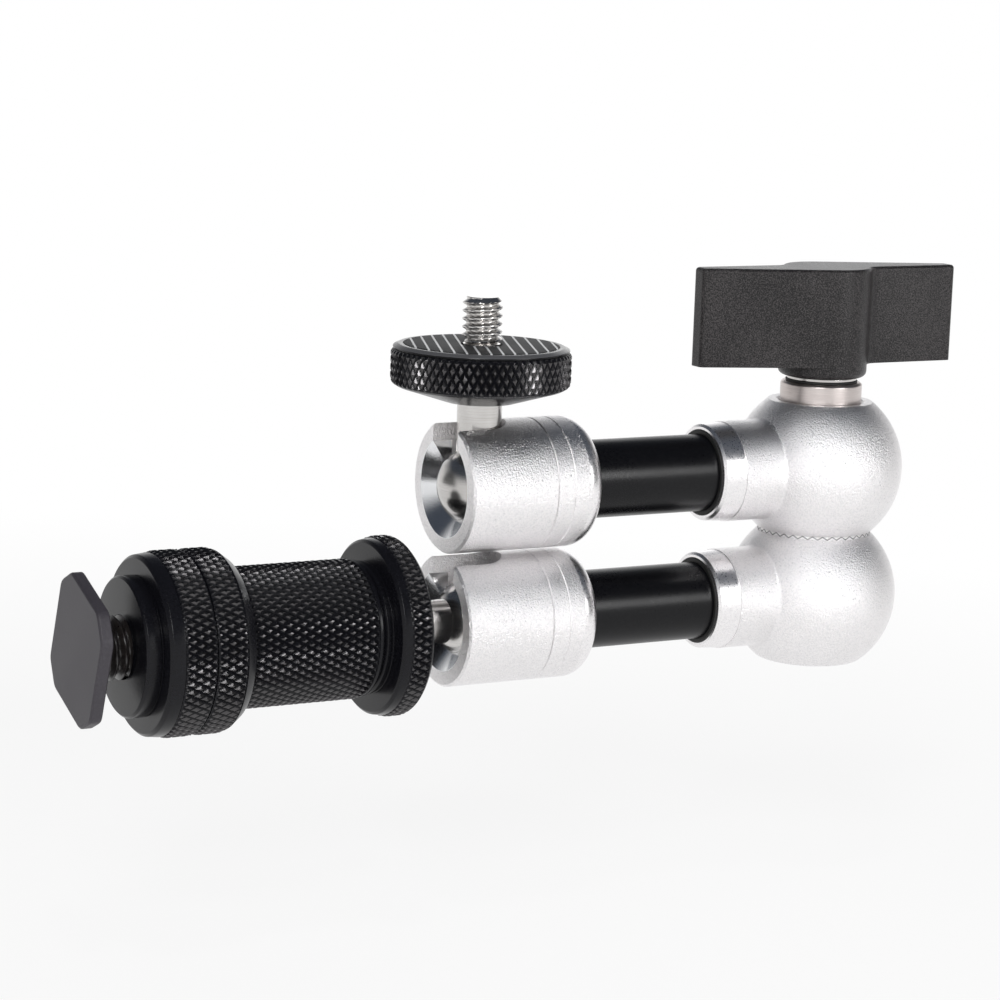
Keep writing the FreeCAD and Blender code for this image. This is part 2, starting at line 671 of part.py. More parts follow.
def make_wedge_sleeve(doc, d):
    """Sleeve whose cone pushes the upper rod, with a collar that shows under the knob."""
    bore, wide, top = d.bolt_radius + d.fit, d.wedge_radius, d.wedge_top
    corners = [(bore, -d.wedge_base), (cone_radius(d, -d.wedge_base), -d.wedge_base),
               (wide, cone_height(d, wide)), (wide, top - d.wedge_edge),
               (wide - d.wedge_edge, top), (bore, top)]
    sleeve = turned_body(doc, "wedge_sleeve", corners, "V_Axis")
    return place(sleeve, x=elbow_place(d), z=d.arm_spacing)


def make_washer(doc, d, label, radius, height, base):
    """Plain washer on the bolt, its base at a height over the upper arm's axis."""
    bore = d.bolt_radius + d.fit
    corners = [(bore, 0), (radius - d.fit, 0), (radius, d.fit), (radius, height - d.fit),
               (radius - d.fit, height), (bore, height)]
    washer = turned_body(doc, label, corners, "V_Axis")
    return place(washer, x=elbow_place(d), z=d.arm_spacing + base)


def make_release_spring(doc, d):
    """Coil spring that parts the two cones when the knob is loosened."""
    low = d.bolt_cone_top + d.press_gap
    high = d.arm_spacing - d.wedge_base - d.press_gap
    body = new_body(doc, "release_spring")
    wire = new_sketch(body, "XZ_Plane")
    side = d.spring_wire
    inside, outside = d.spring_radius - side / 2, d.spring_radius + side / 2
    draw_outline(wire, [(inside, 0), (outside, 0), (outside, side), (inside, side)])
    coil = body.newObject("PartDesign::AdditiveHelix", "Coil")
    coil.Profile = wire
    coil.ReferenceAxis = (wire, ["V_Axis"])
    coil.Mode = "pitch-turns-angle"
    bind(coil, "Pitch", (high - low - side) / d.spring_turns)
    bind(coil, "Turns", d.spring_turns)
    return place(body, x=elbow_place(d), z=low)


def knob_outline(d):
    """Corners of the two-winged knob seen from above, a half turn from each other in pairs."""
    hub, span, face = d.knob_hub_radius, d.knob_half_span, d.wing_face
    tip = d.wing_tip - face
    reach = span * span + tip * tip
    run = root(reach - hub * hub)
    touch = ((-span * hub * hub + tip * hub * run) / reach, (-tip * hub * hub - span * hub * run) / reach)
    bend = d.wing_root_round
    bend_place = leg(hub + bend, face + bend)
    share = hub / (hub + bend)
    leave = (bend_place * share, -(face + bend) * share)
    half = [(touch[0], touch[1], hub, "left"), (leave[0], leave[1], bend, "right"),
            (bend_place, -face), (span, -face), (span, tip)]
    return half + [tuple([-corner[0], -corner[1], *corner[2:]]) for corner in half]


def make_knob(doc, d):
    """Knob with two wings, a boss below and a blind bore for the insert."""
    body = new_body(doc, "knob")
    outline = new_sketch(body, "XY_Plane")
    draw_outline(outline, knob_outline(d))
    wings = body.newObject("PartDesign::Pad", "Wings")
    wings.Profile = outline
    bind(wings, "Length", d.knob_height)
    span, height = d.knob_half_span.number, d.knob_height.number
    dress(body, "Fillet", "Radius", d.wing_tip_round,
          lambda edge: abs(edge.CenterOfMass.x) > span - 1e-4 and edge.BoundBox.ZLength > height / 2)
    dress(body, "Fillet", "Radius", d.knob_edge, lambda edge: edge.BoundBox.ZMin > height - 1e-4)
    hub, foot, drop = d.knob_hub_radius, d.boss_foot_radius, d.boss_height
    round_off = hub - foot
    turn(body, [(0, -drop), (foot, -drop, round_off, "left"), (hub, round_off - drop),
                (hub, d.knob_height / 2), (0, d.knob_height / 2)], "V_Axis")
    bore = d.insert_radius
    top = d.insert_height + d.insert_room - drop
    turn(body, [(0, -2 * drop), (bore, -2 * drop), (bore, top), (0, top)], "V_Axis", cut=True)
    return place(body, x=elbow_place(d), z=d.arm_spacing + knob_base(d) + drop)


def knob_base(d):
    """Height of the knob's foot over the upper arm's axis."""
    return d.wedge_top + d.thrust_height + d.washer_height


def make_knob_insert(doc, d):
    """Threaded insert between the knob and the bolt."""
    bore, height = d.bolt_radius + d.fit, d.insert_height
    corners = [(bore, 0), (d.insert_radius, 0), (d.insert_radius, height), (bore, height)]
    insert = turned_body(doc, "knob_insert", corners, "V_Axis")
    return place(insert, x=elbow_place(d), z=d.arm_spacing + knob_base(d))


# Lock disc and pad on the upper stud

def pad_radius(d):
    """Outside of the rubber pad, inside the disc's rim."""
    return d.ring_radius - d.pad_rim


def make_lock_disc(doc, d):
    """Knurled disc with a conical underside and a recess for the pad."""
    bore, rim, top = d.core_radius + d.fit, d.ring_radius, d.disc_height
    recess = pad_radius(d) + d.fit
    corners = [(bore, 0), (d.disc_foot_radius, 0), (rim - d.disc_cone_rim, d.disc_cone_height),
               (rim, d.disc_cone_height + d.disc_cone_rim), (rim, top - d.disc_bevel_height),
               (rim - d.disc_bevel, top), (recess, top), (recess, top - d.pad_recess),
               (bore, top - d.pad_recess)]
    disc = turned_body(doc, "lock_disc", corners, "V_Axis")
    return place(disc, x=ball_place(d), z=d.arm_spacing + d.shoulder + 2 * d.press_gap)


def make_disc_pad(doc, d):
    """Rubber pad that lies in the disc and stands a little over it."""
    bore, rim = d.screw_radius + 2 * d.press_gap, pad_radius(d)
    corners = [(bore, 0), (rim, 0), (rim, d.pad_thickness), (bore, d.pad_thickness)]
    pad = turned_body(doc, "disc_pad", corners, "V_Axis")
    base = d.shoulder + 2 * d.press_gap + d.disc_height - d.pad_recess
    return place(pad, x=ball_place(d), z=d.arm_spacing + base)


def make_clamp(doc, d):
    """The pieces on the elbow axis, from the bolt up to the knob."""
    thrust_top = d.wedge_top + d.thrust_height
    return [make_draw_bolt(doc, d), make_release_spring(doc, d), make_wedge_sleeve(doc, d),
            make_washer(doc, d, "thrust_washer", d.thrust_radius, d.thrust_height, d.wedge_top),
            make_washer(doc, d, "knob_washer", d.washer_radius, d.washer_height, thrust_top),
            make_knob(doc, d), make_knob_insert(doc, d)]


def build(doc, d):
    """Makes every piece of the arm."""
    pieces = [make_shoe_foot(doc, d), make_shoe_lock_ring(doc, d), make_shoe_jam_ring(doc, d),
              make_grip_sleeve(doc, d), make_stud_lock_ring(doc, d)]
    pieces.append(place(make_ball_stud(doc, d, "lower_ball_stud"), x=ball_place(d),
                        axis=Vector(0, 1, 0), angle=-90))
    pieces += make_arm(doc, d, "lower", 0)
    pieces += [make_lower_hub(doc, d), make_upper_hub(doc, d)]
    pieces += make_clamp(doc, d)
    pieces += make_arm(doc, d, "upper", d.arm_spacing)
    pieces.append(place(make_ball_stud(doc, d, "upper_ball_stud"), x=ball_place(d), z=d.arm_spacing))
    pieces += [make_lock_disc(doc, d), make_disc_pad(doc, d)]
    return pieces


def main():
    doc = FreeCAD.newDocument("friction_arm")
    d = Sizes(doc)
    doc.recompute()
    pieces = build(doc, d)
    doc.recompute()
    failed = [item.Name for item in doc.Objects if {"Invalid", "Error"} & set(item.State)]
    failed += [piece.Label for piece in pieces if piece.Shape.isNull() or not piece.Shape.isValid()]
    if failed:
        raise RuntimeError(f"failed objects: {failed}")
    os.makedirs("parts", exist_ok=True)
    for piece in pieces:
        piece.Shape.exportStep(f"parts/{piece.Label}.step")
        box = piece.Shape.BoundBox
        print(f"{piece.Label:20s} solids {len(piece.Shape.Solids)} volume {piece.Shape.Volume:9.2f} "
              f"x {box.XMin:7.2f} {box.XMax:7.2f} z {box.ZMin:7.2f} {box.ZMax:7.2f}")


main()
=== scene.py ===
"""Looks of a folded articulating friction arm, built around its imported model.

Every length in the classes is in millimetres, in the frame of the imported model: the origin is
the centre of the shoe foot's outer face, +X points to the elbow and +Z up.
"""
import logging
import math
from dataclasses import dataclass, fields
from enum import Enum
from typing import Sequence

import bmesh
import bpy
import numpy as np
from mathutils import Matrix, Vector

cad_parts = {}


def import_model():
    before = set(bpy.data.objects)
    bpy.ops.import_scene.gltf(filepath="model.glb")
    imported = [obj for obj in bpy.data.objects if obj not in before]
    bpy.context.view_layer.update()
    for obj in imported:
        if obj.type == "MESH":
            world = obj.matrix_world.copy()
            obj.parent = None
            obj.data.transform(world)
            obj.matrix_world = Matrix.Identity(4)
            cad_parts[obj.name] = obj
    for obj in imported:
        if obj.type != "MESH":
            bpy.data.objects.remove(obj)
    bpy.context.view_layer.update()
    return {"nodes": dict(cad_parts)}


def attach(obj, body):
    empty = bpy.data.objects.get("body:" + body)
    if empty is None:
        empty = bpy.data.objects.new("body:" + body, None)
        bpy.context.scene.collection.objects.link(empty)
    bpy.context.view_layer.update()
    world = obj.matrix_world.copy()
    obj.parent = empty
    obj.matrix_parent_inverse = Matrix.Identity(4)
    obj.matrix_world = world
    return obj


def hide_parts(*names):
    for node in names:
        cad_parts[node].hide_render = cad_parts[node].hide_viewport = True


LOG = logging.getLogger("friction_arm")
MM = 0.001
WELD = 1e-7  # metres within which two vertices become one
SAME = 1e-6  # millimetres within which two points of a profile are one
BALL = 67.0  # place of both balls along the arm
Pair = tuple[float, float]
Colour = tuple[float, float, float]
Point = tuple[float, float, float]
Corner = tuple[float, float, float]  # along, across and ease


class Heading(Enum):
    """Which way a piece's own axis points in the arm, as the rows of a turning matrix."""

    TO_ELBOW = ((0, 0, 1), (0, 1, 0), (-1, 0, 0))
    TO_SHOE = ((0, 0, -1), (0, 1, 0), (1, 0, 0))
    UP = ((1, 0, 0), (0, 1, 0), (0, 0, 1))


class Arm(Enum):
    """The two arms: their names in the model and the height of their axes."""

    LOWER = ("lower", 0.0)
    UPPER = ("upper", 21.5)

    @property
    def label(self) -> str:
        """Start of the names of its pieces."""
        return self.value[0]

    @property
    def height(self) -> float:
        """Height of its axis."""
        return self.value[1]


# Surfaces

def zigzag(turns: np.ndarray) -> np.ndarray:
    """Zero at each whole number and one halfway between them, with straight flanks."""
    return 1.0 - np.abs(2.0 * (turns % 1.0) - 1.0)


def eased(corners: Sequence[Corner], closed: bool = False, steps: int = 5) -> np.ndarray:
    """Rounds the corners of a profile.

    A corner c becomes the parabola (1 - t)^2 a + 2 t (1 - t) c + t^2 b, where a and b lie on its
    two sides at the corner's ease from it. A profile that isn't closed keeps its two ends.

    Args:
        corners: the two coordinates and the ease of each corner.
        closed: whether the last corner leads back to the first.
        steps: points on each rounded corner.

    Returns:
        The points, one row each.
    """
    table = np.array(corners, dtype=float)
    place, ease = table[:, :2], table[:, 2:].copy()
    if not closed:
        ease[[0, -1]] = 0.0
    back, ahead = np.roll(place, 1, axis=0) - place, np.roll(place, -1, axis=0) - place
    back /= np.maximum(np.linalg.norm(back, axis=1, keepdims=True), SAME)
    ahead /= np.maximum(np.linalg.norm(ahead, axis=1, keepdims=True), SAME)
    share = np.linspace(0.0, 1.0, steps)[None, :, None]
    points = (place[:, None] + (1 - share) ** 2 * (back * ease)[:, None]
              + share ** 2 * (ahead * ease)[:, None])
    points = points.reshape(-1, 2)
    fresh = np.ones(len(points), dtype=bool)
    fresh[1:] = np.linalg.norm(np.diff(points, axis=0), axis=1) > SAME
    return points[fresh]


def arc(radius: float, end: float, count: int) -> np.ndarray:
    """Points (along, across) on a circle about zero, from its lowest point on the axis.

    A point at an angle is (-radius cos angle, radius sin angle).

    Args:
        radius: the circle's radius.
        end: last angle in degrees, zero being the lowest point.
        count: number of points.

    Returns:
        The points, one row each.
    """
    angle = np.radians(np.linspace(0.0, end, count))
    return np.stack([-radius * np.cos(angle), radius * np.sin(angle)], axis=1)


@dataclass
class Surface:
    """Points in millimetres and the triangles between them."""

    points: np.ndarray
    faces: np.ndarray

    @classmethod
    def from_grid(cls, points: np.ndarray, level: np.ndarray, loop: bool) -> "Surface":
        """Joins the cells of a grid whose columns run round, two triangles each.

        Each cell is cut along the diagonal whose two ends differ least in level, so that the
        crests and grooves of a pattern stay straight.

        Args:
            points: rows by columns by three.
            level: rows by columns, the height of the pattern.
            loop: whether the last row leads back to the first.

        Returns:
            The surface.
        """
        rows, columns = level.shape
        number = np.arange(rows * columns).reshape(rows, columns)
        low = slice(None) if loop else slice(0, rows - 1)
        corner = [number[low], np.roll(number, -1, 1)[low],
                  np.roll(np.roll(number, -1, 0), -1, 1)[low], np.roll(number, -1, 0)[low]]
        flat = level.reshape(-1)
        first = (np.abs(flat[corner[0]] - flat[corner[2]])
                 <= np.abs(flat[corner[1]] - flat[corner[3]]))[..., None]
        one = np.where(first, np.stack([corner[0], corner[1], corner[2]], -1),
                       np.stack([corner[0], corner[1], corner[3]], -1))
        two = np.where(first, np.stack([corner[0], corner[2], corner[3]], -1),
                       np.stack([corner[1], corner[2], corner[3]], -1))
        return cls(points.reshape(-1, 3), np.concatenate([one.reshape(-1, 3), two.reshape(-1, 3)]))

    def headed(self, heading: Heading, x: float, z: float = 0.0) -> "Surface":
        """Turned from its own axis to a heading of the arm and moved to its place."""
        turned = self.points @ np.array(heading.value, dtype=float).T
        return Surface(turned + (x, 0.0, z), self.faces)

    def to_object(self, name: str, sharp: float = 30.0) -> bpy.types.Object:
        """Makes the mesh: doubles merged, normals outward, edges over an angle kept sharp.

        Args:
            name: the object's name.
            sharp: the angle in degrees from which an edge is sharp.

        Returns:
            The new object, at the origin.
        """
        mesh = bpy.data.meshes.new(name)
        mesh.from_pydata((self.points * MM).tolist(), [], self.faces.tolist())
        work = bmesh.new()
        work.from_mesh(mesh)
        bmesh.ops.remove_doubles(work, verts=work.verts, dist=WELD)
        bmesh.ops.recalc_face_normals(work, faces=work.faces)
        work.to_mesh(mesh)
        work.free()
        mesh.polygons.foreach_set("use_smooth", np.ones(len(mesh.polygons), dtype=bool))
        mesh.set_sharp_from_angle(angle=math.radians(sharp))
        piece = bpy.data.objects.new(name, mesh)
        bpy.context.scene.collection.objects.link(piece)
        return piece


@dataclass(frozen=True)
class Knurl:
    """Diamonds pressed round a rim.

    They are given by how many there are round it, their length along the axis, the outside
    radius, the leg of the chamfers at both ends and their depth.
    """

    count: int
    period: float
    radius: float
    leg: float = 0.42
    depth: float = 0.42
    steps: int = 8
    flat: float = 0.75

    @property
    def columns(self) -> int:
        """Columns round the rim."""
        return self.count * self.steps

    def rows(self, start: float, end: float) -> np.ndarray:
        """The knurled part of a profile.

        With c diamonds round and a diamonds along, a diamond's height is the least of
        zigzag(c + a), zigzag(c - a) and its flat, over its flat. The radius is the outside less
        depth times (1 - height), and at both ends no more than a chamfer lets it be.

        Args:
            start: first place along the axis.
            end: last place along the axis.

        Returns:
            Rows by columns of (along, radius).
        """
        step = self.period / self.steps
        count = math.ceil((end - start) / step) + 1
        along = np.minimum(start + step * np.arange(count), end)[:, None]
        around = (np.arange(self.columns) / self.steps)[None, :]
        turns = (along - start) / self.period
        height = np.minimum(np.minimum(zigzag(around + turns), zigzag(around - turns)), self.flat)
        limit = self.radius - self.leg + np.minimum(along - start, end - along)
        outside = np.minimum(self.radius - self.depth * (1.0 - height / self.flat), limit)
        return np.stack([np.broadcast_to(along, outside.shape), outside], axis=-1)


@dataclass(frozen=True)
class Thread:
    """Screw thread between two places, with a chamfer at its last one.

    The lengths are its pitch, the radius of its root and of its crest, its two places along the
    axis and the depth of the chamfer. Steps are the rows of each pitch.
    """

    pitch: float
    core: float
    outside: float
    start: float
    end: float
    tip: float
    steps: int = 14
    margin: float = 0.18

    def rows(self, columns: int) -> np.ndarray:
        """The threaded part of a profile.

        The flank is zigzag(along / pitch - turn), cut by a margin at both ends and stretched to
        run from root to crest. It fades in over the first half pitch and keeps under the chamfer.

        Args:
            columns: columns round the screw.

        Returns:
            Rows by columns of (along, radius).
        """
        count = round((self.end - self.start) / self.pitch * self.steps) + 1
        along = np.linspace(self.start, self.end, count)[:, None]
        around = (np.arange(columns) / columns)[None, :]
        wave = zigzag(along / self.pitch - around)
        flank = np.clip((wave - self.margin) / (1.0 - 2.0 * self.margin), 0.0, 1.0)
        fade = np.clip((along - self.start) / (0.5 * self.pitch), 0.0, 1.0)
        radius = self.core + (self.outside - self.core) * flank * fade
        radius = np.minimum(radius, self.outside - self.tip + (self.end - along))
        return np.stack([np.broadcast_to(along, radius.shape), radius], axis=-1)


class Turning:
    """A piece turned round its own axis.

    Its profile is kept as rows by columns of (along, radius), so that a pattern can differ round
    the piece.
    """

    def __init__(self, columns: int) -> None:
        """Starts an empty profile with its number of columns."""
        self.columns = columns
        self.parts: list[np.ndarray] = []

    def plain(self, profile: np.ndarray) -> "Turning":
        """Adds smooth rows, one for each (along, radius) of a profile."""
        self.parts.append(np.broadcast_to(profile[:, None, :], (len(profile), self.columns, 2)))
        return self

    def eased(self, corners: Sequence[Corner]) -> "Turning":
        """Adds smooth rows from corners with their eases."""
        return self.plain(eased(corners))

    def patterned(self, rows: np.ndarray) -> "Turning":
        """Adds rows that already have their columns."""
        self.parts.append(rows)
        return self

    def surface(self, loop: bool = True) -> Surface:
        """Carries the profile round: a point is (radius cos angle, radius sin angle, along).

        Args:
            loop: whether the profile closes on itself, as in a ring, and not on its axis.

        Returns:
            The turned surface about +Z.
        """
        table = np.concatenate(self.parts)
        angle = np.linspace(0.0, 2.0 * math.pi, self.columns, endpoint=False)
        along, radius = table[..., 0], table[..., 1]
        points = np.stack([radius * np.cos(angle), radius * np.sin(angle), along], axis=-1)
        return Surface.from_grid(points, radius, loop)


def show(name: str, surface: Surface, finish: bpy.types.Material, body: str, slot: str,
         *nodes: str) -> None:
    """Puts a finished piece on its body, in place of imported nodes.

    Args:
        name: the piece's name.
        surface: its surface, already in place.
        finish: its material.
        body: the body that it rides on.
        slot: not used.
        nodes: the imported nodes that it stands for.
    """
    piece = surface.to_object(name)
    piece.data.materials.append(finish)
    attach(piece, body)
    if nodes:
        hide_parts(*nodes)
    LOG.info("%s: %d triangles", name, len(piece.data.polygons))


# Shader maths

class Wire:
    """A node's output, with the arithmetic that shader expressions need."""

    def __init__(self, graph: "Graph", socket: bpy.types.NodeSocket) -> None:
        """Keeps the output together with the graph it belongs to."""
        self.graph = graph
        self.socket = socket

    def _math(self, operation: str, *operands: object) -> "Wire":
        """Adds one Math node over this wire and other wires or numbers."""
        return self.graph.node("ShaderNodeMath", {"operation": operation},
                               dict(enumerate(operands)))

    def __add__(self, other: object) -> "Wire":
        """Sum."""
        return self._math("ADD", self, other)

    __radd__ = __add__

    def __sub__(self, other: object) -> "Wire":
        """Difference."""
        return self._math("SUBTRACT", self, other)

    def __rsub__(self, other: object) -> "Wire":
        """Difference from a number."""
        return self._math("SUBTRACT", other, self)

    def __mul__(self, other: object) -> "Wire":
        """Product."""
        return self._math("MULTIPLY", self, other)

    __rmul__ = __mul__

    def power(self, exponent: float) -> "Wire":
        """This value raised to a power."""
        return self._math("POWER", self, exponent)

    def above(self, threshold: float) -> "Wire":
        """One where this value is over a threshold, and otherwise zero."""
        return self._math("GREATER_THAN", self, threshold)

    def modulo(self, period: float) -> "Wire":
        """Remainder after division, never negative."""
        return self._math("FLOORED_MODULO", self, period)

    def magnitude(self) -> "Wire":
        """This value without its sign."""
        return self._math("ABSOLUTE", self)

    def between(self, low: float, high: float) -> "Wire":
        """One where this value lies between two others, and otherwise zero."""
        return self.above(low) * (1.0 - self.above(high))


@dataclass(frozen=True)
class Grain:
    """A noise: its scale in cycles a metre, its detail, how rough it is, and its reach.

    The reach is the range by which it moves the roughness of a finish.
    """

    scale: float
    detail: float = 2.0
    rough: float = 0.5
    reach: float = 0.0


class Graph:
    """A node tree in which expressions are written."""

    def __init__(self, tree: bpy.types.NodeTree) -> None:
        """Keeps the tree."""
        self.tree = tree

    def node(self, kind: str, settings: dict[str, object], values: dict[object, object],
             output: object = 0) -> Wire:
        """Adds any node.

        Args:
            kind: the node's type.
            settings: properties that are set first; "stops" sets a ramp's stops.
            values: numbers, colours or wires for the node's inputs, by index or name.
            output: index or name of the output that is wanted.

        Returns:
            The wire of that output.
        """
        node = self.tree.nodes.new(kind)
        for key, value in settings.items():
            if key == "stops":
                self._set_stops(node.color_ramp, value)
            else:
                setattr(node, key, value)
        for key, value in values.items():
            if isinstance(value, Wire):
                self.tree.links.new(value.socket, node.inputs[key])
            else:
                node.inputs[key].default_value = value
        return Wire(self, node.outputs[output])

    @staticmethod
    def _set_stops(ramp: bpy.types.ColorRamp, stops: Sequence[Pair]) -> None:
        """Sets a ramp's two stops as positions and grey levels."""
        for element, (position, level) in zip(ramp.elements, stops):
            element.position = position
            element.color = (level, level, level, 1.0)

    def place(self) -> Wire:
        """Object coordinates in metres."""
        return self.node("ShaderNodeTexCoord", {}, {}, "Object")

    def along(self, axis: str) -> Wire:
        """One object coordinate in millimetres."""
        metres = self.node("ShaderNodeSeparateXYZ", {}, {"Vector": self.place()}, axis)
        return metres * (1.0 / MM)

    def stretched(self, scale: Sequence[float]) -> Wire:
        """Object coordinates stretched along each axis."""
        return self.node("ShaderNodeMapping", {}, {"Vector": self.place(), "Scale": tuple(scale)})

    def noise(self, place: Wire, grain: Grain) -> Wire:
        """Noise between zero and one over the given coordinates."""
        return self.node("ShaderNodeTexNoise", {}, {
            "Vector": place, "Scale": grain.scale, "Detail": grain.detail,
            "Roughness": grain.rough})

    def noises(self, *grains: Grain) -> list[Wire]:
        """Noises over the object coordinates."""
        place = self.place()
        return [self.noise(place, grain) for grain in grains]

    def shade(self, fine: Wire, broad: Wire, share: float, contrast: Pair) -> Wire:
        """Two noises in one, the first by its share, with more contrast.

        The first of two levels becomes zero and the second one.
        """
        stops = list(zip(contrast, (0.0, 1.0)))
        return self.node("ShaderNodeValToRGB", {"stops": stops},
                         {"Fac": fine * share + broad * (1.0 - share)})

    def within(self, value: Wire, span: Pair, first: float, last: float) -> Wire:
        """A value's way through a span, carried over to run from one number to another."""
        return self.node("ShaderNodeMapRange", {}, {
            "Value": value, "From Min": span[0], "From Max": span[1], "To Min": first,
            "To Max": last})

    def mix(self, factor: Wire, first: object, second: object) -> Wire:
        """Colour between two colours, by a factor."""
        colours = [(*item, 1.0) if isinstance(item, tuple) else item for item in (first, second)]
        return self.node("ShaderNodeMix", {"data_type": "RGBA"},
                         {"Factor": factor, 6: colours[0], 7: colours[1]}, 2)

    def spread(self, middle: float, *noises: tuple[Wire, Grain]) -> Wire:
        """A value that wanders about its middle: middle + the sum of (noise - 0.5) * reach."""
        total = middle - sum(grain.reach for _, grain in noises) / 2.0
        for noise, grain in noises:
            total = total + noise * grain.reach
        return total

    def link(self, wire: Wire, socket: bpy.types.NodeSocket) -> None:
        """Feeds a wire to a socket."""
        self.tree.links.new(wire.socket, socket)


class Coat(Graph):
    """The graph of one material, which ends in one Principled shader."""

    def __init__(self, name: str, metallic: float, roughness: float,
                 specular: float = 0.5) -> None:
        """Makes the material with its constant settings on the shader's own sockets.

        Args:
            name: the material's name.
            metallic: constant metallic value.
            roughness: constant roughness, unless a wire replaces it.
            specular: constant specular level.
        """
        self.material = bpy.data.materials.new(name)
        self.material.use_nodes = True
        super().__init__(self.material.node_tree)
        self.shader = self.tree.nodes["Principled BSDF"]
        self.shader.inputs["Metallic"].default_value = metallic
        self.shader.inputs["Roughness"].default_value = roughness
        self.shader.inputs["Specular IOR Level"].default_value = specular

    def bump(self, height: Wire, distance: float) -> None:
        """Feeds a height times a distance in metres to the shader's normal."""
        self.feed("Normal", self.node("ShaderNodeBump", {}, {
            "Height": height, "Distance": distance, "Strength": 1.0}, "Normal"))

    def feed(self, socket: str, wire: Wire) -> None:
        """Feeds a wire to one of the shader's sockets."""
        self.link(wire, self.shader.inputs[socket])

    def colour(self, colour: Colour) -> None:
        """Sets one constant base colour."""
        self.shader.inputs["Base Color"].default_value = (*colour, 1.0)


# Finishes

@dataclass(frozen=True)
class BlastedMetal:
    """Bead-blasted aluminium of both arms: fine dimples, a soft sheen and small bright grains.

    The countersink in the heads' faces is polished, with hardly any dimples, and the bands on both
    sides of the tubes have none. The depth of a dimple is in metres.
    """

    name: str = "blasted silver"
    bright: Colour = (0.93, 0.91, 0.915)
    dull: Colour = (0.80, 0.79, 0.80)
    turned_bright: Colour = (0.86, 0.865, 0.875)
    turned_dull: Colour = (0.76, 0.77, 0.79)
    roughness: float = 0.32
    polish: float = 0.15
    smoothing: float = 0.02
    dimple: float = 0.00018
    polished_away: float = 0.95
    fine: Grain = Grain(3300.0, 2.0, 0.7, 0.22)
    broad: Grain = Grain(110.0, 3.0, 0.55, 0.06)
    share: float = 0.85
    contrast: Pair = (0.34, 0.56)
    countersink: float = 8.05
    face: Pair = (60.0, 64.5)
    bands: Pair = (81.9, 112.5)

    def make(self) -> bpy.types.Material:
        """Builds the material. A mask is one where it is polished or smooth."""
        graph = Coat(self.name, 1.0, self.roughness)
        x, y, z = (graph.along(axis) for axis in "XYZ")
        z = z - z.above(Arm.UPPER.height / 2) * Arm.UPPER.height
        inside = 1.0 - (y * y + z * z).power(0.5).above(self.countersink)
        polished = inside * x.between(*self.face)
        smooth = x.between(*self.bands)
        fine, broad = graph.noises(self.fine, self.broad)
        shade = graph.shade(fine, broad, self.share, self.contrast)
        blasted = graph.mix(shade, self.dull, self.bright)
        turned = graph.mix(broad, self.turned_dull, self.turned_bright)
        graph.feed("Base Color", graph.mix(polished, blasted, turned))
        rough = graph.spread(self.roughness, (fine, self.fine), (broad, self.broad))
        graph.feed("Roughness", rough - smooth * self.smoothing - polished * self.polish)
        graph.bump(fine * (1.0 - smooth) * (1.0 - polished * self.polished_away), self.dimple)
        return graph.material


@dataclass(frozen=True)
class TurnedMetal:
    """Metal with fine tool marks round one axis of the arm.

    The marks are given by their cycles a metre along each axis.
    """

    name: str
    bright: Colour
    dull: Colour
    along: tuple[float, float, float]
    roughness: float
    mark: float = 0.00001
    fine: Grain = Grain(1.0, 4.0, 0.7, 0.2)
    broad: Grain = Grain(160.0)
    share: float = 0.6
    contrast: Pair = (0.34, 0.64)

    def make(self) -> bpy.types.Material:
        """Builds the material. The marks are noise stretched out round the axis."""
        graph = Coat(self.name, 1.0, self.roughness)
        marks = graph.noise(graph.stretched(self.along), self.fine)
        broad, = graph.noises(self.broad)
        shade = graph.shade(marks, broad, self.share, self.contrast)
        graph.feed("Base Color", graph.mix(shade, self.dull, self.bright))
        graph.feed("Roughness", graph.spread(self.roughness, (marks, self.fine)))
        graph.bump(marks, self.mark)
        return graph.material


@dataclass(frozen=True)
class DarkCoat:
    """Dark coat over metal or plastic: speckled or smooth, with a soft sheen."""

    name: str
    dark: Colour
    light: Colour
    roughness: float
    specular: float = 0.5
    fine: Grain = Grain(2200.0, 2.0, 0.6, 0.12)
    broad: Grain = Grain(60.0, 3.0, reach=0.12)
    share: float = 0.8
    dimple: float = 0.00001
    contrast: Pair = (0.45, 0.75)

    def make(self) -> bpy.types.Material:
        """Builds the material from a fine and a broad noise."""
        graph = Coat(self.name, 0.0, self.roughness, self.specular)
        fine, broad = graph.noises(self.fine, self.broad)
        shade = graph.shade(fine, broad, self.share, self.contrast)
        graph.feed("Base Color", graph.mix(shade, self.dark, self.light))
        rough = graph.spread(self.roughness, (fine, self.fine), (broad, self.broad))
        graph.feed("Roughness", rough)
        graph.bump(fine, self.dimple)
        return graph.material


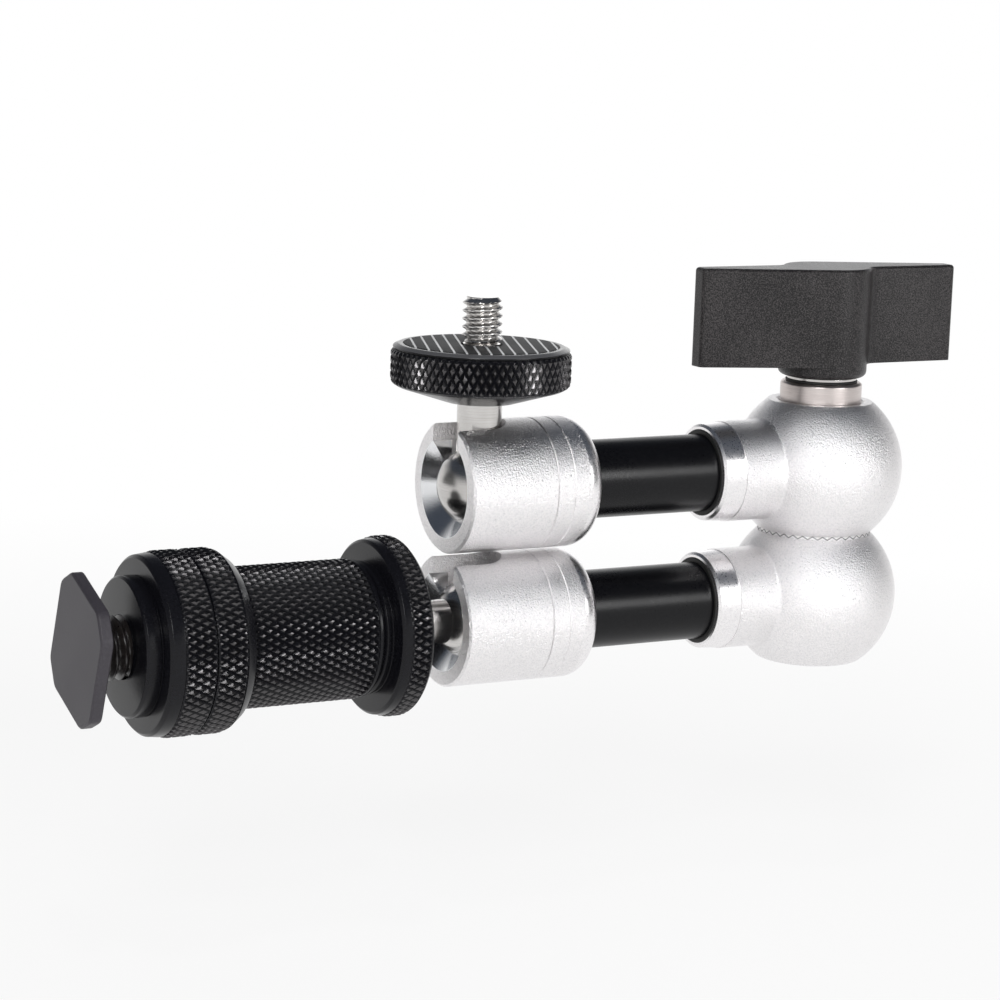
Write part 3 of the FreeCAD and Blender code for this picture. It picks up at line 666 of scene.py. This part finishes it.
@dataclass(frozen=True)
class KnurledBlack:
    """Black anodised rings, sleeve and disc.

    Handling has polished the crests of the knurls. The bevel over the disc's rim is painted a
    lighter grey, a painted reflection of light from above. A crest lies beyond a radius: one for
    the sleeve's knurl and one for the rims.
    """

    name: str = "black knurl"
    dark: Colour = (0.003, 0.003, 0.004)
    light: Colour = (0.008, 0.008, 0.011)
    crest: Colour = (0.085, 0.082, 0.084)
    # painted reflection: lighter grey on the disc's top bevel, for light from above
    bevel: Colour = (0.075, 0.075, 0.08)
    roughness: float = 0.24
    specular: float = 0.2
    fine: Grain = Grain(2200.0, 2.0, 0.6, 0.12)
    broad: Grain = Grain(60.0, 3.0, reach=0.1)
    dimple: float = 0.000003
    disc_from: float = 33.0
    painted_sheen_from: float = 43.55
    rim_crest: float = 14.01
    sleeve: Pair = (24.9, 45.3)
    sleeve_crest: float = 10.82

    def make(self) -> bpy.types.Material:
        """Builds the material. A mask is one on the disc, on the sleeve and on a crest."""
        graph = Coat(self.name, 0.0, self.roughness, self.specular)
        x, y, z = (graph.along(axis) for axis in "XYZ")
        on_disc = z.above(self.disc_from)
        away = x - BALL
        square = y * y + z * z * (1.0 - on_disc) + away * away * on_disc
        on_sleeve = x.between(*self.sleeve) * (1.0 - on_disc)
        limit = self.rim_crest - on_sleeve * (self.rim_crest - self.sleeve_crest)
        crest = (square.power(0.5) - limit).above(0.0)
        fine, broad = graph.noises(self.fine, self.broad)
        shade = graph.mix(fine, self.dark, self.light)
        knurled = graph.mix(crest, shade, self.crest)
        # Painted reflection: the disc's top bevel is painted lighter grey.
        graph.feed("Base Color", graph.mix(z.above(self.painted_sheen_from), knurled, self.bevel))
        graph.feed("Metallic", crest)
        rough = graph.spread(self.roughness, (fine, self.fine), (broad, self.broad))
        graph.feed("Roughness", rough)
        graph.bump(fine, self.dimple)
        return graph.material


@dataclass(frozen=True)
class LinedRubber:
    """Black rubber pad with thin lines set in its top, all in one direction.

    The lines are coloured pale, a painted highlight for light caught along them.
    """

    name: str = "lined rubber"
    dark: Colour = (0.010, 0.010, 0.011)
    light: Colour = (0.024, 0.024, 0.025)
    # painted highlight: pale colours of the lines, for light caught along them
    painted_glint_dull: Colour = (0.42, 0.43, 0.44)
    line_bright: Colour = (0.62, 0.63, 0.64)
    roughness: float = 0.6
    line_polish: float = 0.2
    fine: Grain = Grain(1800.0, 3.0, 0.6, 0.16)
    broad: Grain = Grain(500.0, 3.0)
    depth: float = 0.00004
    pitting: float = 0.4
    across: Pair = (0.926, -0.378)
    first: float = -3.38
    spacing: float = 1.86
    half_width: float = 0.17
    waver: float = 0.04
    top: float = 43.9

    def make(self) -> bpy.types.Material:
        """Builds the material. A line lies where the distance across them is a whole spacing."""
        graph = Coat(self.name, 0.0, self.roughness)
        away = (graph.along("X") - BALL) * self.across[0] + graph.along("Y") * self.across[1]
        half = self.spacing / 2
        offset = ((away - self.first + half).modulo(self.spacing) - half).magnitude()
        fine, broad = graph.noises(self.fine, self.broad)
        edge = offset + fine * self.waver
        line = ((1.0 - edge.above(self.half_width + self.waver / 2))
                * graph.along("Z").above(self.top))
        rubber = graph.mix(broad, self.dark, self.light)
        # Painted highlight: the lines' pale colour stands in for light caught along them.
        pale = graph.mix(fine, self.painted_glint_dull, self.line_bright)
        graph.feed("Base Color", graph.mix(line, rubber, pale))
        rough = graph.spread(self.roughness, (fine, self.fine))
        graph.feed("Roughness", rough - line * self.line_polish)
        graph.bump(fine * self.pitting - line, self.depth)
        return graph.material


@dataclass(frozen=True)
class Finishes:
    """Every finish of the arm."""

    blasted: BlastedMetal = BlastedMetal()
    knurled: KnurledBlack = KnurledBlack()
    foot: DarkCoat = DarkCoat("grey foot", (0.034, 0.030, 0.038), (0.046, 0.042, 0.051), 0.5)
    thread: DarkCoat = DarkCoat("dark thread", (0.010, 0.008, 0.008), (0.030, 0.025, 0.023), 0.3,
                                specular=0.7)
    tube: DarkCoat = DarkCoat("black tube", (0.003, 0.003, 0.004), (0.006, 0.006, 0.007), 0.3,
                              specular=0.22, dimple=0.000003)
    knob: DarkCoat = DarkCoat("speckled black", (0.005, 0.0045, 0.005), (0.062, 0.056, 0.057),
                              0.34, specular=0.32, fine=Grain(4600.0, 2.0, 0.6, 0.12),
                              dimple=0.00005,
                              contrast=(0.43, 0.66))
    rubber: DarkCoat = DarkCoat("black rubber", (0.010, 0.010, 0.010), (0.018, 0.018, 0.018), 0.6)
    pad: LinedRubber = LinedRubber()
    steel: TurnedMetal = TurnedMetal("polished steel", (0.66, 0.645, 0.63), (0.5, 0.485, 0.47),
                                     (60.0, 60.0, 9000.0), 0.22, 0.000004)
    collar: TurnedMetal = TurnedMetal("brushed steel", (0.68, 0.62, 0.60), (0.5, 0.45, 0.43),
                                      (300.0, 300.0, 9000.0), 0.32)
    brass: TurnedMetal = TurnedMetal("turned brass", (0.71, 0.55, 0.27), (0.6, 0.45, 0.2),
                                     (300.0, 300.0, 9000.0), 0.32)
    # painted shade: a dark band standing in for the shadow in the gap between the teeth
    seam: DarkCoat = DarkCoat("painted gap shade", (0.03, 0.03, 0.032), (0.09, 0.09, 0.092), 0.6)
    plastic: DarkCoat = DarkCoat("pale plastic", (0.7, 0.69, 0.66), (0.78, 0.77, 0.74), 0.5)

    def made(self) -> dict[str, bpy.types.Material]:
        """Builds every material once, by the finish's name."""
        return {field.name: getattr(self, field.name).make() for field in fields(self)}


# Pieces of the arm

@dataclass
class ShoeAdapter:
    """Foot, threaded stem, knurled rings and grip sleeve, all about the lower arm's axis.

    The foot is given by its half sides, what its corners are clipped by and its turn about the
    axis in degrees. The profiles of the rings and the sleeve start at their side to the foot.
    """

    coats: dict[str, bpy.types.Material]
    foot_half: Pair = (10.3, 9.3)
    foot_clip: float = 3.4
    foot_round: float = 0.9
    foot_turn: float = 20.0
    foot_thickness: float = 2.0
    foot_bevel: float = 0.28
    foot_back_bevel: float = 0.2
    foot_inset: float = 0.6
    stem_start: float = 1.5
    stem_end: float = 34.0
    stem_columns: int = 72
    stem_thread: Thread = Thread(1.5, 4.1, 4.9, 1.9, 26.0, tip=0.0, steps=10)
    groove: float = 13.8
    bore: float = 4.95
    screw_bore: float = 3.0
    socket_bore: float = 3.225
    lock_start: float = 7.3
    jam_start: float = 17.45
    sleeve_start: float = 24.2
    stud_ring_start: float = 46.55
    rim_knurl: Knurl = Knurl(66, 2.4, 14.25)
    sleeve_knurl: Knurl = Knurl(52, 2.3, 11.0, leg=0.35)

    def build(self) -> None:
        """Makes the six pieces."""
        foot, black = self.coats["foot"], self.coats["knurled"]
        show("foot_plate", self._foot(), foot, "adapter", "foot_grey", "shoe_foot")
        show("threaded_stem", self._stem(), self.coats["thread"], "adapter", "foot_grey",
             "shoe_foot")
        for name, turning, start, body, node in (
                ("clamp_ring", self._lock_ring(), self.lock_start, "shoe_lock", "shoe_lock_ring"),
                ("counter_ring", self._jam_ring(), self.jam_start, "shoe_jam", "shoe_jam_ring"),
                ("knurled_sleeve", self._sleeve(), self.sleeve_start, "adapter", "grip_sleeve"),
                ("stud_ring", self._stud_ring(), self.stud_ring_start, "stud_lock",
                 "stud_lock_ring")):
            show(name, turning.surface().headed(Heading.TO_ELBOW, start), black, body,
                 "knurl_black", node)

    def _foot(self) -> Surface:
        """Plate with clipped corners.

        Each row of its grid is the outline, moved in along its normals by the edge's profile. The
        first and last rows close the plate in its middle.
        """
        long, wide = self.foot_half
        near, far = long - self.foot_clip, wide - self.foot_clip
        half = [(long, far), (near, wide), (-near, wide), (-long, far)]
        turned = [(-across, -up) for across, up in half]
        outline = eased([(*corner, self.foot_round) for corner in half + turned], closed=True)
        along = np.roll(outline, -1, 0) - np.roll(outline, 1, 0)
        normal = np.stack([along[:, 1], -along[:, 0]], 1) / np.linalg.norm(along, axis=1)[:, None]
        top, inset = self.foot_thickness, self.foot_inset
        front, back = self.foot_bevel, self.foot_back_bevel
        edge = eased([(inset, 0.0, 0.0), (front, 0.0, 0.1), (0.0, front, 0.1),
                      (0.0, top - back, 0.08), (back, top, 0.08), (inset, top, 0.0)])
        share = np.ones(len(edge) + 2)
        share[[0, -1]] = 0.0
        edge = np.vstack([edge[:1], edge, edge[-1:]])
        flat = (outline[None] - normal[None] * edge[:, :1, None]) * share[:, None, None]
        turn = math.radians(self.foot_turn)
        across = flat[..., 0] * math.cos(turn) - flat[..., 1] * math.sin(turn)
        up = flat[..., 0] * math.sin(turn) + flat[..., 1] * math.cos(turn)
        height = np.broadcast_to(edge[:, 1:], across.shape)
        points = np.stack([across, up, height], axis=-1)
        return Surface.from_grid(points, height, False).headed(Heading.TO_ELBOW, 0.0)

    def _stem(self) -> Surface:
        """Threaded as far as the rings' travel shows it, and plain inside the sleeve."""
        thread, columns = self.stem_thread, self.stem_columns
        turning = Turning(columns).eased([(self.stem_start, 0.0, 0.0),
                                          (self.stem_start, thread.core, 0.0)])
        turning.patterned(thread.rows(columns))
        turning.eased([(thread.end, thread.outside, 0.0), (self.stem_end, thread.outside, 0.0)])
        turning.eased([(self.stem_end, thread.outside, 0.0), (self.stem_end, 0.0, 0.0)])
        return turning.surface(loop=False).headed(Heading.TO_ELBOW, 0.0)

    def _lock_ring(self) -> Turning:
        """Smooth boss to the foot, a plain lip and a knurled rim."""
        turning = Turning(self.rim_knurl.columns)
        turning.eased([(0.0, self.bore, 0.0), (0.0, 10.45, 0.06), (0.35, 10.8, 0.06),
                       (2.3, 10.8, 0.05), (2.45, 10.6, 0.05), (2.6, 10.6, 0.04), (2.6, 13.3, 0.1),
                       (3.1, 13.8, 0.1), (4.85, 14.0, 0.05), (4.95, 13.75, 0.03),
                       (5.05, 13.75, 0.0)])
        turning.patterned(self.rim_knurl.rows(5.05, 10.0))
        return turning.eased([(10.0, self.groove, 0.0), (10.0, self.bore, 0.0)])

    def _jam_ring(self) -> Turning:
        """Knurled rim, then a plain bevel towards the sleeve."""
        turning = Turning(self.rim_knurl.columns)
        turning.eased([(0.0, self.bore, 0.0), (0.0, self.groove, 0.0)])
        turning.patterned(self.rim_knurl.rows(0.0, 4.75))
        return turning.eased([(4.75, self.groove, 0.0), (4.85, 13.95, 0.04), (6.5, 12.7, 0.1),
                              (6.6, 12.5, 0.06), (6.6, self.bore, 0.0)])

    def _sleeve(self) -> Turning:
        """Long knurl between two plain ends."""
        turning = Turning(self.sleeve_knurl.columns)
        turning.eased([(9.95, 0.0, 0.0), (9.95, self.bore, 0.0), (0.0, self.bore, 0.1),
                       (0.0, 10.4, 0.1), (0.35, 10.8, 0.1), (0.6, 10.8, 0.05), (0.65, 10.6, 0.0)])
        turning.patterned(self.sleeve_knurl.rows(0.65, 21.2))
        return turning.eased([(21.2, 10.6, 0.0), (21.3, 10.8, 0.05), (21.8, 10.8, 0.1),
                              (22.2, 10.4, 0.1), (22.2, self.socket_bore, 0.1),
                              (12.25, self.socket_bore, 0.0), (12.25, 0.0, 0.0)])

    def _stud_ring(self) -> Turning:
        """Stepped boss, a plain face and a knurled rim with plain chamfers."""
        turning = Turning(self.rim_knurl.columns)
        turning.eased([(0.0, self.screw_bore, 0.0), (0.0, 10.05, 0.06), (0.4, 10.5, 0.06),
                       (0.9, 10.5, 0.05), (1.0, 10.35, 0.04), (1.4, 10.35, 0.1), (1.4, 13.3, 0.1),
                       (1.8, 13.75, 0.08), (2.9, 13.95, 0.03), (2.95, self.groove, 0.0)])
        turning.patterned(self.rim_knurl.rows(2.95, 6.35))
        return turning.eased([(6.35, self.groove, 0.0), (6.9, 13.2, 0.08),
                              (6.9, self.screw_bore, 0.0)])


@dataclass
class BallStud:
    """Ball, neck and camera screw in one piece."""

    coats: dict[str, bpy.types.Material]
    arm: Arm
    ball_radius: float = 6.45
    neck_radius: float = 3.55
    neck_start: float = 5.418
    shoulder: float = 13.4
    shank_radius: float = 2.95
    columns: int = 96
    arc_points: int = 40
    thread: Thread = Thread(1.27, 2.52, 3.175, 22.7, 30.1, tip=0.75)

    def build(self) -> None:
        """Makes the stud about its ball: the lower one to the shoe, the upper one up."""
        neck = 180.0 - math.degrees(math.asin(self.neck_radius / self.ball_radius))
        turning = Turning(self.columns).plain(arc(self.ball_radius, neck, self.arc_points))
        turning.eased([(self.neck_start, self.neck_radius, 0.0),
                       (self.shoulder, self.neck_radius, 0.0)])
        turning.eased([(self.shoulder, self.shank_radius, 0.0),
                       (self.thread.start, self.shank_radius, 0.0)])
        turning.patterned(self.thread.rows(self.columns))
        turning.plain(np.array([[self.thread.end, 0.0]]))
        heading = Heading.TO_SHOE if self.arm is Arm.LOWER else Heading.UP
        surface = turning.surface(loop=False).headed(heading, BALL, self.arm.height)
        show(f"{self.arm.label}_stud", surface, self.coats["steel"], f"{self.arm.label}_stud",
             "ball_steel", f"{self.arm.label}_ball_stud")


@dataclass
class LockDisc:
    """Knurled disc under the camera and the lined pad in it."""

    coats: dict[str, bpy.types.Material]
    disc_base: float = 35.0
    pad_base: float = 43.2
    bore: float = 3.0
    groove: float = 13.8
    recess: float = 12.35
    pad_rim: float = 12.3
    pad_bore: float = 3.275
    pad_columns: int = 160
    knurl: Knurl = Knurl(66, 2.46, 14.25)

    def build(self) -> None:
        """Makes the disc and its pad."""
        disc = Turning(self.knurl.columns)
        disc.eased([(0.0, self.bore, 0.0), (0.0, 5.6, 0.1), (2.35, 13.3, 0.3),
                    (2.7, self.groove, 0.0)])
        disc.patterned(self.knurl.rows(2.7, 8.15))
        disc.eased([(8.15, self.groove, 0.0), (8.2, 13.5, 0.03), (8.36, 13.5, 0.03),
                    (8.42, 13.95, 0.05), (8.62, 13.9, 0.08), (9.0, 13.05, 0.12),
                    (9.0, self.recess, 0.04), (8.2, self.recess, 0.0), (8.2, self.bore, 0.0)])
        show("knurled_disc", disc.surface().headed(Heading.UP, BALL, self.disc_base),
             self.coats["knurled"], "disc", "knurl_black", "lock_disc")
        pad = Turning(self.pad_columns).eased([
            (0.0, self.pad_bore, 0.0), (0.0, self.pad_rim, 0.0), (0.9, self.pad_rim, 0.2),
            (0.9, 3.4, 0.12), (0.8, self.pad_bore, 0.0)])
        show("lined_pad", pad.surface().headed(Heading.UP, BALL, self.pad_base),
             self.coats["pad"], "disc", "pad_rubber", "disc_pad")


@dataclass
class KnobStack:
    """What shows between the hub and the knob, and a dark band of painted shade along the
    zigzag where the teeth meet.
    """

    coats: dict[str, bpy.types.Material]
    elbow: float = 131.6
    bore: float = 4.0
    columns: int = 96
    collar_radius: float = 6.8
    collar_bevel: float = 0.35
    collar_top: float = 35.95
    teeth: int = 36
    tooth_steps: int = 8
    tooth_middle: float = 10.75
    tooth_swing: float = 0.26
    tooth_rim: float = 9.475
    seam_half: float = 0.075
    seam_depth: float = 0.1

    def build(self) -> None:
        """Makes the collar, the two washers and the painted shade line between the teeth."""
        top, radius, bevel = self.collar_top, self.collar_radius, self.collar_bevel
        collar = [(17.0, self.bore, 0.0), (17.0, 4.72, 0.0), (25.67, radius, 0.0),
                  (top - bevel, radius, 0.12), (top, radius - bevel, 0.12), (top, self.bore, 0.0)]
        for name, corners, finish, slot, node in (
                ("wedge_collar", collar, "collar", "collar_steel", "wedge_sleeve"),
                ("black_washer", self._washer(36.0, 36.3, 6.0, 0.08), "rubber", "washer_black",
                 "thrust_washer"),
                ("bright_washer", self._washer(36.35, 36.85, 5.85, 0.1), "steel", "washer_steel",
                 "knob_washer")):
            surface = Turning(self.columns).eased(corners).surface()
            show(name, surface.headed(Heading.UP, self.elbow), self.coats[finish], "wedge", slot,
                 node)
        self._painted_shade_line()

    def _washer(self, bottom: float, top: float, radius: float, ease: float) -> list[Corner]:
        """Profile of a flat ring whose two outer edges are eased."""
        return [(bottom, self.bore, 0.0), (bottom, radius, ease), (top, radius, ease),
                (top, self.bore, 0.0)]

    def _painted_shade_line(self) -> None:
        """Painted shade: a dark line standing in for the shadow in the gap between the teeth.

        It is a thin band round the elbow at middle + swing * (2 zigzag(teeth * turn) - 1).
        """
        columns = self.teeth * self.tooth_steps
        turn = np.arange(columns) / columns
        middle = self.tooth_middle + self.tooth_swing * (2.0 * zigzag(turn * self.teeth) - 1.0)
        half, rim, inner = self.seam_half, self.tooth_rim, self.tooth_rim - self.seam_depth
        along = np.stack([middle - half, middle - half, middle + half, middle + half])
        radius = np.repeat([[inner], [rim], [rim], [inner]], columns, axis=1)
        seam = Turning(columns).patterned(np.stack([along, radius], axis=-1))
        show("tooth_shade_line", seam.surface().headed(Heading.UP, self.elbow), self.coats["seam"],
             "lower_arm", "satin_silver")


@dataclass
class PackedPieces:
    """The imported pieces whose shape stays, with the finish of each."""

    coats: dict[str, bpy.types.Material]
    clamp: tuple[tuple[str, str], ...] = (
        ("draw_bolt", "collar"), ("release_spring", "collar"), ("knob", "knob"),
        ("knob_insert", "brass"))
    arm: tuple[tuple[str, str], ...] = (
        ("socket_cap", "blasted"), ("cap_ring", "blasted"), ("head_collar", "blasted"),
        ("ball_seat", "plastic"), ("tube", "tube"), ("push_rod", "collar"),
        ("tube_gasket", "rubber"), ("hub", "blasted"))

    def dress(self, nodes: dict[str, bpy.types.Object]) -> None:
        """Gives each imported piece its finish.

        Args:
            nodes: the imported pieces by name.
        """
        choice = dict(self.clamp)
        choice.update({f"{arm.label}_{piece}": finish
                       for arm in Arm for piece, finish in self.arm})
        for name, finish in choice.items():
            materials = nodes[name].data.materials
            materials.clear()
            materials.append(self.coats[finish])
            LOG.info("%s: %s", name, finish)


# Studio

@dataclass(frozen=True)
class Lamp:
    """Square soft lamp: its place, the length of its side and its power in watts."""

    name: str
    place: Point
    side: float
    power: float

    def hang(self, target: Point) -> None:
        """Puts the lamp in the scene, aimed at a place."""
        data = bpy.data.lights.new(self.name, "AREA")
        data.shape = "SQUARE"
        data.size = self.side * MM
        data.energy = self.power
        lamp = bpy.data.objects.new(self.name, data)
        lamp.location = Vector(self.place) * MM
        aim = Vector(target) * MM - lamp.location
        lamp.rotation_euler = aim.to_track_quat("-Z", "Y").to_euler()
        bpy.context.scene.collection.objects.link(lamp)


@dataclass
class Studio:
    """Pale floor, soft lights and the camera at the photograph's angle.

    Angles are in degrees. The floor lies under the arm's lowest pose and glows white to the
    camera: by floor_white at the arm, and wholly beyond floor_fade, in metres. Reflections see the
    world dimmed overhead, between two heights of their direction, and at two black flags, between
    two cosines from the flags' axis.
    """

    azimuth: float = -28.44
    elevation: float = 10.22
    roll: float = 1.94
    distance: float = 480.9
    focal_pixels: float = 3022.6
    picture_pixels: float = 1000.0
    sensor: float = 36.0
    clip: Pair = (0.01, 20.0)
    target: Point = (71.21, 0.0, 18.94)
    floor_height: float = -57.0
    floor_size: float = 6000.0
    floor_colour: Colour = (0.9, 0.9, 0.9)
    floor_roughness: float = 0.9
    floor_specular: float = 0.1
    floor_white: float = 0.8
    floor_fade: Pair = (0.2, 0.42)
    ambient: float = 0.55
    mirrored: float = 0.9
    dim_between: Pair = (0.16, 0.5)
    overhead: Colour = (0.055, 0.065, 0.085)
    flag_axis: Point = (0.879, -0.476, 0.0)
    flag_between: Pair = (0.84, 0.94)
    flag_depth: float = 0.82
    lamps: tuple[Lamp, ...] = (
        Lamp("key", (-260.0, -470.0, 330.0), 160.0, 1.4),
        Lamp("fill", (330.0, -460.0, 170.0), 160.0, 0.75),
        Lamp("back", (330.0, 370.0, 150.0), 260.0, 0.13),
        Lamp("glint", (-120.0, -330.0, 480.0), 50.0, 0.25))

    def build(self) -> None:
        """Makes everything that isn't part of the arm."""
        self._camera()
        self._floor()
        self._world()
        for lamp in self.lamps:
            lamp.hang(self.target)
        bpy.context.scene.view_settings.view_transform = "Standard"

    def _camera(self) -> None:
        """Places the camera on the sight line, then turns it by its roll."""
        azimuth, elevation, roll = (math.radians(angle) for angle in
                                    (self.azimuth, self.elevation, self.roll))
        back = Vector((math.sin(azimuth) * math.cos(elevation),
                       -math.cos(azimuth) * math.cos(elevation), math.sin(elevation)))
        right = Vector((math.cos(azimuth), math.sin(azimuth), 0.0))
        up = back.cross(right)
        rolled = [right * math.cos(roll) + up * math.sin(roll),
                  up * math.cos(roll) - right * math.sin(roll)]
        data = bpy.data.cameras.new("camera")
        data.sensor_width = self.sensor
        data.lens = self.focal_pixels / self.picture_pixels * self.sensor
        data.clip_start, data.clip_end = self.clip
        camera = bpy.data.objects.new("camera", data)
        turn = Matrix((rolled[0], rolled[1], back)).transposed().to_4x4()
        place = (Vector(self.target) + back * self.distance) * MM
        camera.matrix_world = Matrix.Translation(place) @ turn
        bpy.context.scene.collection.objects.link(camera)
        bpy.context.scene.camera = camera

    def _floor(self) -> None:
        """A wide pale plane under the arm. What doesn't glow keeps the arm's shadow."""
        half, height = self.floor_size * MM / 2, self.floor_height * MM
        mesh = bpy.data.meshes.new("floor")
        mesh.from_pydata([(-half, -half, height), (half, -half, height), (half, half, height),
                          (-half, half, height)], [], [(0, 1, 2, 3)])
        floor = bpy.data.objects.new("floor", mesh)
        bpy.context.scene.collection.objects.link(floor)
        coat = Coat("pale floor", 0.0, self.floor_roughness, self.floor_specular)
        coat.colour(self.floor_colour)
        away = coat.node("ShaderNodeVectorMath", {"operation": "LENGTH"}, {0: coat.place()},
                         "Value")
        white = coat.within(away, self.floor_fade, self.floor_white, 1.0)
        glow = coat.node("ShaderNodeEmission", {}, {"Color": (1.0, 1.0, 1.0, 1.0),
                                                    "Strength": 1.0})
        both = coat.node("ShaderNodeMixShader", {}, {
            0: self._seen(coat) * white, 1: Wire(coat, coat.shader.outputs[0]), 2: glow})
        coat.link(both, coat.tree.nodes["Material Output"].inputs["Surface"])
        mesh.materials.append(coat.material)

    @staticmethod
    def _seen(graph: Graph) -> Wire:
        """One for camera and glossy rays, and otherwise zero."""
        camera = graph.node("ShaderNodeLightPath", {}, {}, "Is Camera Ray")
        glossy = graph.node("ShaderNodeLightPath", {}, {}, "Is Glossy Ray")
        return (camera + glossy).above(0.5)

    def _world(self) -> None:
        """White to the camera, a plain level as light, and darker in places for reflections."""
        world = bpy.data.worlds.new("studio")
        bpy.context.scene.world = world
        world.use_nodes = True
        graph = Graph(world.node_tree)
        direction = graph.node("ShaderNodeTexCoord", {}, {}, "Generated")
        height = graph.node("ShaderNodeSeparateXYZ", {}, {"Vector": direction}, "Z")
        camera = graph.node("ShaderNodeLightPath", {}, {}, "Is Camera Ray")
        glossy = graph.node("ShaderNodeLightPath", {}, {}, "Is Glossy Ray")
        dim = graph.within(height, self.dim_between, 0.0, 1.0)
        side = graph.node("ShaderNodeVectorMath", {"operation": "DOT_PRODUCT"},
                          {0: direction, 1: self.flag_axis}, "Value").magnitude()
        flag = graph.within(side, self.flag_between, 1.0, 1.0 - self.flag_depth)
        background = world.node_tree.nodes["Background"]
        tint = graph.mix(dim * glossy * (1.0 - camera), (1.0, 1.0, 1.0), self.overhead)
        graph.link(tint, background.inputs["Color"])
        level = camera + (1.0 - camera) * (glossy * flag * self.mirrored
                                           + (1.0 - glossy) * self.ambient)
        graph.link(level, background.inputs["Strength"])


def main() -> None:
    """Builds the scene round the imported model."""
    logging.basicConfig(level=logging.INFO, format="%(message)s")
    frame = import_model()
    Studio().build()
    coats = Finishes().made()
    PackedPieces(coats).dress(frame["nodes"])
    ShoeAdapter(coats).build()
    for arm in Arm:
        BallStud(coats, arm).build()
    LockDisc(coats).build()
    KnobStack(coats).build()


if __name__ == "__main__":
    main()
